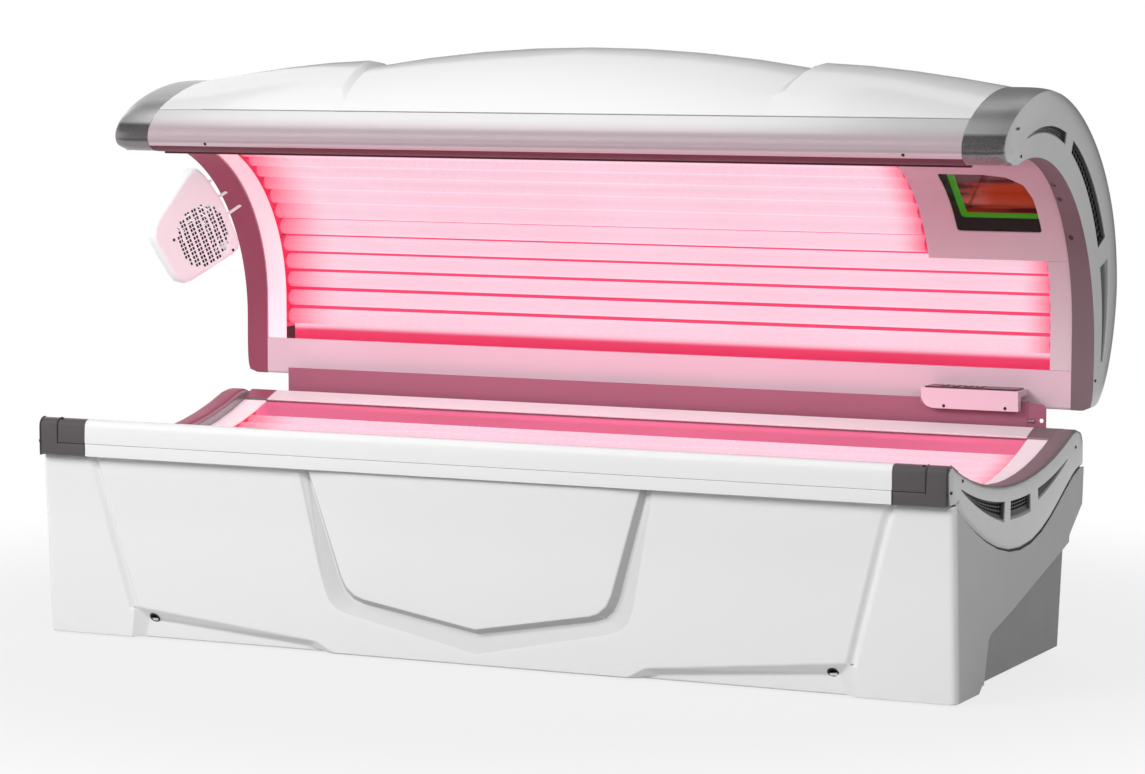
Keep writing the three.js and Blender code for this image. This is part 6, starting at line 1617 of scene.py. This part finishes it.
@dataclass
class Fittings(SubAssembly):
    """Screws, plugs, grommets and the cable clip."""

    screw_radius: float = 0.0036
    screw_height: float = 0.0014
    screw_edge: float = 0.0007
    screw_sides: int = 20
    slot_size: Span = (1.25, 0.3)
    slot_depth: float = 0.0009
    plug_radius: float = 0.0065
    plug_height: float = 0.0009
    plug_rims: Span = (0.0012, 0.0008)
    plug_dish: float = 0.0006
    plug_sides: int = 24
    grommet_radius: float = 0.0128
    grommet_height: float = 0.0016
    grommet_well: float = 0.012
    grommet_edge: float = 0.0008
    grommet_rims: Span = (0.0022, 0.0042)
    grommet_sides: int = 32
    cap_screws: tuple[Span, ...] = ((-0.1735, 1.175), (-0.1545, 1.116), (0.3865, 0.593))
    cover_screws: tuple[Span, ...] = ((-0.5015, 0.466), (-0.5655, 0.448), (0.2485, 0.457))
    rail_screws: tuple[Span, ...] = ((-0.8014, 1.1171), (0.9134, 1.1185))
    housing_screws: tuple[Span, ...] = ((0.8115, 0.529), (0.958, 0.529))
    fan_screws: tuple[Point, ...] = ((-1.0941, 0.0907, 0.8695), (-1.0239, 0.2521, 0.8379))
    rail_plug: Span = (1.0375, -0.5616)
    band_plugs: tuple[Point, ...] = (
        (1.1033, 0.1938, 1.0414), (1.1033, 0.2376, 1.0078), (1.1072, 0.3117, 0.9192)
    )
    end_probe: float = 0.2
    front_probe: float = -0.6
    top_probe: float = 0.6
    fan_probe: float = 0.05
    panel_probe: float = -1.0
    grommets: Point = (0.825, 0.0125, 0.052)
    clip: Point = (1.0135, 0.2, 0.5017)
    clip_size: Point = (0.0155, 0.005, 0.0068)
    clip_edge: float = 0.0012
    clip_rim: float = 0.001
    clip_dish: float = 0.0008

    def build(self) -> None:
        """Models each fitting once and copies it to its places."""
        self._fix(self._screw(), Slot.STEEL, DARK_SCREW, self._screw_seats())
        self._fix(self._plug(), Slot.BLACK_PLASTIC, HOLE_PLUG, self._plug_seats())
        self._grommets()
        self._clip()

    def _screw_seats(self) -> list[Seat]:
        """Places of all the screws."""
        seats = []
        for side, end in ENDS:
            away = PLAN.end_x(side) + side * self.end_probe
            inwards = (-float(side), 0.0, 0.0)
            for kind, places in (("canopy_cap", self.cap_screws), ("end_cover", self.cover_screws)):
                node = f"{end}_{kind}"
                for number, (y, z) in enumerate(places, start=1):
                    seats.append(Seat(f"{node}_screw_{number}", node, (away, y, z), inwards))
            x, y = self.rail_plug
            start = (PLAN.middle_x + side * x, y, self.top_probe)
            seats.append(Seat(f"{end}_plug_screw", f"{end}_rail_plug", start, (0.0, 0.0, -1.0)))
        for node, places in (("canopy_front_rail", self.rail_screws), ("control_housing", self.housing_screws)):
            for number, (x, z) in enumerate(places, start=1):
                seats.append(Seat(f"{node}_screw_{number}", node, (x, self.front_probe, z), (0.0, 1.0, 0.0)))
        normal = Vector(PLAN.fan_normal)
        for number, place in enumerate(self.fan_screws, start=1):
            start = tuple(Vector(place) + self.fan_probe * normal)
            seats.append(Seat(f"body_fan_screw_{number}", "body_fan_housing", start, tuple(-normal)))
        return seats

    def _plug_seats(self) -> list[Seat]:
        """Places of the plugs in the head end's mouth band."""
        seats = []
        for number, (x, y, z) in enumerate(self.band_plugs, start=1):
            out = (0.0, y - PLAN.arc_y, z - PLAN.arc_z)
            seats.append(Seat(f"band_plug_{number}", "right_canopy_cap", (x, PLAN.arc_y, PLAN.arc_z), out))
        return seats

    def _fix(self, model: bpy.types.Object, slot: Slot, finish: Finish, seats: Sequence[Seat]) -> None:
        """Copies a fitting to its seats and removes the model.

        Args:
            model: The fitting, standing on the origin along Z.
            slot: The record's slot for its finish.
            finish: Its own finish.
            seats: Where the copies go.
        """
        for seat in seats:
            point, normal = self.shop.seat_on(seat.node, seat.start, Vector(seat.heading))
            piece = self.shop.copy(model, seat.name, self.shop.standing(point, normal))
            self.shop.finish(piece, self.shop.body_of[seat.node], slot, finishes=(finish,))
        bpy.data.objects.remove(model)

    def _round(self, name: str, radius: float, height: float, sides: int) -> bpy.types.Object:
        """A short cylinder that stands on the origin."""
        return self.shop.start(
            Shape.CYLINDER, name, vertices=sides, radius=radius, depth=height, location=(0, 0, height / 2)
        )

    def _screw(self) -> bpy.types.Object:
        """A rounded screw head with a cross recess."""
        screw = self._round("screw", self.screw_radius, self.screw_height, self.screw_sides)
        with self.shop.editing(screw):
            self.shop.pick_facing(screw, UP)
            bpy.ops.mesh.bevel(offset=self.screw_edge, segments=3, affect="EDGES")
        length, width = (share * self.screw_radius for share in self.slot_size)
        cutter = self.shop.start(
            Shape.CUBE, "cross_bar", size=1, location=(0, 0, self.screw_height),
            scale=(length, width, 2 * self.slot_depth),
        )
        other = self.shop.copy(cutter, "other_bar", Matrix.Rotation(math.pi / 2, 4, "Z"))
        for tool in (cutter, other):
            self.shop.apply(screw, "BOOLEAN", object=tool, operation="DIFFERENCE", solver="EXACT")
            bpy.data.objects.remove(tool)
        self.shop.smooth(screw, 35.0)
        return screw

    def _plug(self) -> bpy.types.Object:
        """A flat plug with a dished middle."""
        plug = self._round("plug", self.plug_radius, self.plug_height, self.plug_sides)
        outer, inner = self.plug_rims
        with self.shop.editing(plug):
            self.shop.pick_facing(plug, UP)
            bpy.ops.mesh.inset(thickness=outer, depth=0)
            bpy.ops.mesh.inset(thickness=inner, depth=-self.plug_dish)
        self.shop.smooth(plug, 35.0)
        return plug

    def _grommets(self) -> None:
        """A deep rubber grommet in each round hole of the front panel."""
        model = self._round("grommet", self.grommet_radius, self.grommet_height, self.grommet_sides)
        front, back = self.grommet_rims
        with self.shop.editing(model):
            self.shop.pick_facing(model, UP)
            bpy.ops.mesh.bevel(offset=self.grommet_edge, segments=3, affect="EDGES")
            self.shop.pick_facing(model, UP, 0.99)
            bpy.ops.mesh.inset(thickness=front, depth=0)
            self.shop.extrude(z=-self.grommet_well)
            self.shop.pick(model, lambda middle, normal: normal.z < -0.9 and middle.z < SLACK)
            bpy.ops.mesh.inset(thickness=back, depth=0)
            self.shop.extrude(z=-self.grommet_well)
        self.shop.smooth(model, 35.0)
        x, aside, z = self.grommets
        for side, end in ENDS:
            hole = PLAN.middle_x + side * x
            point, normal = self.shop.seat_on("front_panel", (hole + aside, self.panel_probe, z), BACK)
            place = self.shop.standing((hole, point.y, z), normal)
            piece = self.shop.copy(model, f"{end}_panel_grommet", place)
            self.shop.finish(piece, "bench", Slot.RUBBER)
        bpy.data.objects.remove(model)

    def _clip(self) -> None:
        """A pressed metal clip on the cable bracket."""
        x, _, z = self.clip
        point, _ = self.shop.seat_on("cable_bracket", self.clip, BACK)
        place = (x, point.y - self.clip_size[1] / 2, z)
        clip = self.shop.start(Shape.CUBE, "cable_clip", size=1, location=place, scale=self.clip_size)
        self.shop.apply(clip, "BEVEL", width=self.clip_edge, segments=3, limit_method="ANGLE")
        with self.shop.editing(clip):
            self.shop.pick_facing(clip, -BACK)
            bpy.ops.mesh.inset(thickness=self.clip_rim, depth=-self.clip_dish)
        self.shop.smooth(clip, 35.0)
        self.shop.finish(clip, "bench", Slot.ZINC)


@dataclass
class InnerWorks(SubAssembly):
    """Frame, hinges, ballasts and cooling fan, with soft edges or smooth faces."""

    softened: tuple[str, ...] = (
        "left_hinge_bracket", "right_hinge_bracket", "left_hinge_arm", "right_hinge_arm", "ballast_tray",
        "cooling_fan_frame", "bench_chassis",
    )
    smoothed: tuple[str, ...] = (
        "left_hinge_pin", "right_hinge_pin", "left_hinge_spring", "right_hinge_spring", "front_left_foot",
        "front_right_foot", "rear_left_foot", "rear_right_foot", "cooling_fan_rotor",
    )
    soft: Softening = Softening(0.0007, 2, 50.0)
    smooth: Softening = Softening(0.0, 0, 50.0, 42.0)

    def build(self) -> None:
        """Softens or smooths each piece."""
        for nodes, softening in ((self.softened, self.soft), (self.smoothed, self.smooth)):
            for node in nodes:
                self.shop.skin(node, softening)


@dataclass(frozen=True)
class SoftPanel:
    """A soft light panel that faces a point."""

    name: str
    place: Sequence[float]
    target: Sequence[float]
    width: float
    height: float
    power: float
    colour: Colour = (1.0, 1.0, 1.0)

    def build(self) -> bpy.types.Object:
        """Adds the light, unseen by the camera and in reflections."""
        data = bpy.data.lights.new(self.name, "AREA")
        data.shape = "RECTANGLE"
        data.size = self.width
        data.size_y = self.height
        data.energy = self.power
        data.color = self.colour
        panel = bpy.data.objects.new(self.name, data)
        panel.location = self.place
        heading = Vector(self.target) - Vector(self.place)
        panel.rotation_euler = heading.to_track_quat("-Z", "Y").to_euler()
        panel.visible_camera = False
        panel.visible_glossy = False
        bpy.context.scene.collection.objects.link(panel)
        return panel


@dataclass(frozen=True)
class DarkFlag:
    """A dark studio flag that shows only in glossy surfaces, level unless it is turned up."""

    name: str
    place: Point
    size: Span
    shade: float
    turn: float = 0.0

    def build(self) -> None:
        """Adds the flag."""
        flag = Workshop.start(Shape.PLANE, self.name, size=1.0)
        flag.location = self.place
        flag.rotation_euler = (math.radians(self.turn), 0.0, 0.0)
        flag.scale = (*self.size, 1.0)
        flag.data.materials.append(FlagCloth(f"{self.name}_cloth", self.shade).material())
        for kind in ("camera", "diffuse", "transmission", "volume_scatter", "shadow"):
            setattr(flag, f"visible_{kind}", False)


@dataclass
class Studio:
    """Camera, floor, backdrop and soft light."""

    camera_place: Point = (3.6349, -7.5845, 1.4021)
    camera_turn: float = 25.462
    camera_drop: float = 5.685
    lens: float = 115.88
    sensor: float = 36.0
    sky: float = 0.24
    floor_size: float = 30.0
    glow_colour: Colour = (1.0, 0.03, 0.16)
    bench_glow: tuple[float, float, float] = (1.9, 0.6, 2.5)
    bench_glow_z: float = 0.46
    bench_glow_heading: Point = (0.0, 0.15, 1.0)
    canopy_glow: tuple[float, float, float] = (1.8, 0.5, 0.8)
    canopy_glow_place: Point = (-0.1, 0.27, 0.27)
    canopy_glow_heading: Point = (0.0, -1.0, -1.0)
    panels: tuple[SoftPanel, ...] = (
        SoftPanel("key_panel", (-2.6, -5.0, 3.9), (0.0, 0.0, 0.6), 3.4, 2.6, 335.0),
        SoftPanel("top_panel", (0.2, -0.4, 4.2), (0.0, 0.0, 1.0), 4.0, 2.4, 6.0),
        SoftPanel("fill_panel", (4.2, -5.6, 3.2), (0.0, 0.0, 0.7), 2.6, 2.2, 80.0),
        SoftPanel("side_panel", (3.0, -1.9, 1.6), (1.14, -0.3, 0.45), 0.9, 0.9, 10.0),
        SoftPanel("back_panel", (-1.0, 5.5, 3.2), (0.0, 0.0, 0.7), 3.6, 2.4, 200.0),
    )
    flags: tuple[DarkFlag, ...] = (
        DarkFlag("front_flag", (0.0, -8.2, 2.4), (16.0, 6.6), 0.15, 90.0),
        DarkFlag("upper_flag", (0.0, -4.7, 4.5), (16.0, 6.8), 0.15),
        DarkFlag("floor_flag", (0.0, -3.2, 0.004), (9.0, 3.4), 0.045),
        DarkFlag("right_ceiling_flag", (1.3, 0.1, 3.2), (2.7, 2.8), 0.08),
        DarkFlag("left_ceiling_flag", (-3.5, 0.1, 3.2), (2.7, 2.8), 0.08),
        DarkFlag("back_flag", (-0.6, 4.5, 2.4), (5.8, 4.8), 0.2, 90.0),
    )

    def build(self, shop: Workshop) -> None:
        """Sets up the whole studio.

        Args:
            shop: The workshop, for the bodies that the lamps' glow rides on.
        """
        bpy.context.scene.view_settings.view_transform = "Standard"
        self._camera()
        self._floor()
        self._sky()
        for thing in (*self.panels, *self.flags):
            thing.build()
        rise = Vector((PLAN.middle_x, PLAN.lie_y, self.bench_glow_z))
        roof = Vector((PLAN.middle_x, PLAN.arc_y, PLAN.arc_z)) + Vector(self.canopy_glow_place)
        glows = (
            ("bench", rise, Vector(self.bench_glow_heading), self.bench_glow),
            ("canopy", roof, Vector(self.canopy_glow_heading), self.canopy_glow),
        )
        for body, place, heading, (width, height, power) in glows:
            glow = SoftPanel(f"{body}_glow", place, place + heading, width, height, power, self.glow_colour)
            glow.build().parent = shop.bodies[body]

    def _camera(self) -> None:
        """The camera at the photograph's place and lens."""
        turn, drop = math.radians(self.camera_turn), math.radians(self.camera_drop)
        back = Vector((math.sin(turn) * math.cos(drop), -math.cos(turn) * math.cos(drop), math.sin(drop)))
        data = bpy.data.cameras.new("camera")
        data.lens = self.lens
        data.sensor_width = self.sensor
        data.sensor_fit = "HORIZONTAL"
        camera = bpy.data.objects.new("camera", data)
        camera.location = self.camera_place
        camera.rotation_euler = (-back).to_track_quat("-Z", "Y").to_euler()
        bpy.context.scene.collection.objects.link(camera)
        bpy.context.scene.camera = camera

    def _floor(self) -> None:
        """A pale floor under the bed."""
        floor = Workshop.start(Shape.PLANE, "floor", size=self.floor_size)
        floor.data.materials.append(PaleFloor("pale_floor").material())

    def _sky(self) -> None:
        """An even sky that the camera and reflections see as white."""
        shader = Shader("studio_sky", is_world=True)
        light, white = (
            shader.node("ShaderNodeBackground", sockets={"Color": (1.0, 1.0, 1.0, 1.0), "Strength": strength})
            for strength in (self.sky, 1.0)
        )
        bpy.context.scene.world = shader.done(shader.mixed(shader.seen(), light, white))


def main() -> None:
    """Loads the frame, builds every sub-assembly and sets the studio."""
    logging.basicConfig(level=logging.INFO, format="%(message)s")
    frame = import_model()
    shop = Workshop(frame)
    Studio().build(shop)
    kinds = (
        BenchBody, CanopyBody, ClearSheets, LampBanks, FaceUnit, ControlUnit, BodyFan, VentScoops, Fittings,
        InnerWorks,
    )
    for kind in kinds:
        kind(shop).build()


if __name__ == "__main__":
    main()
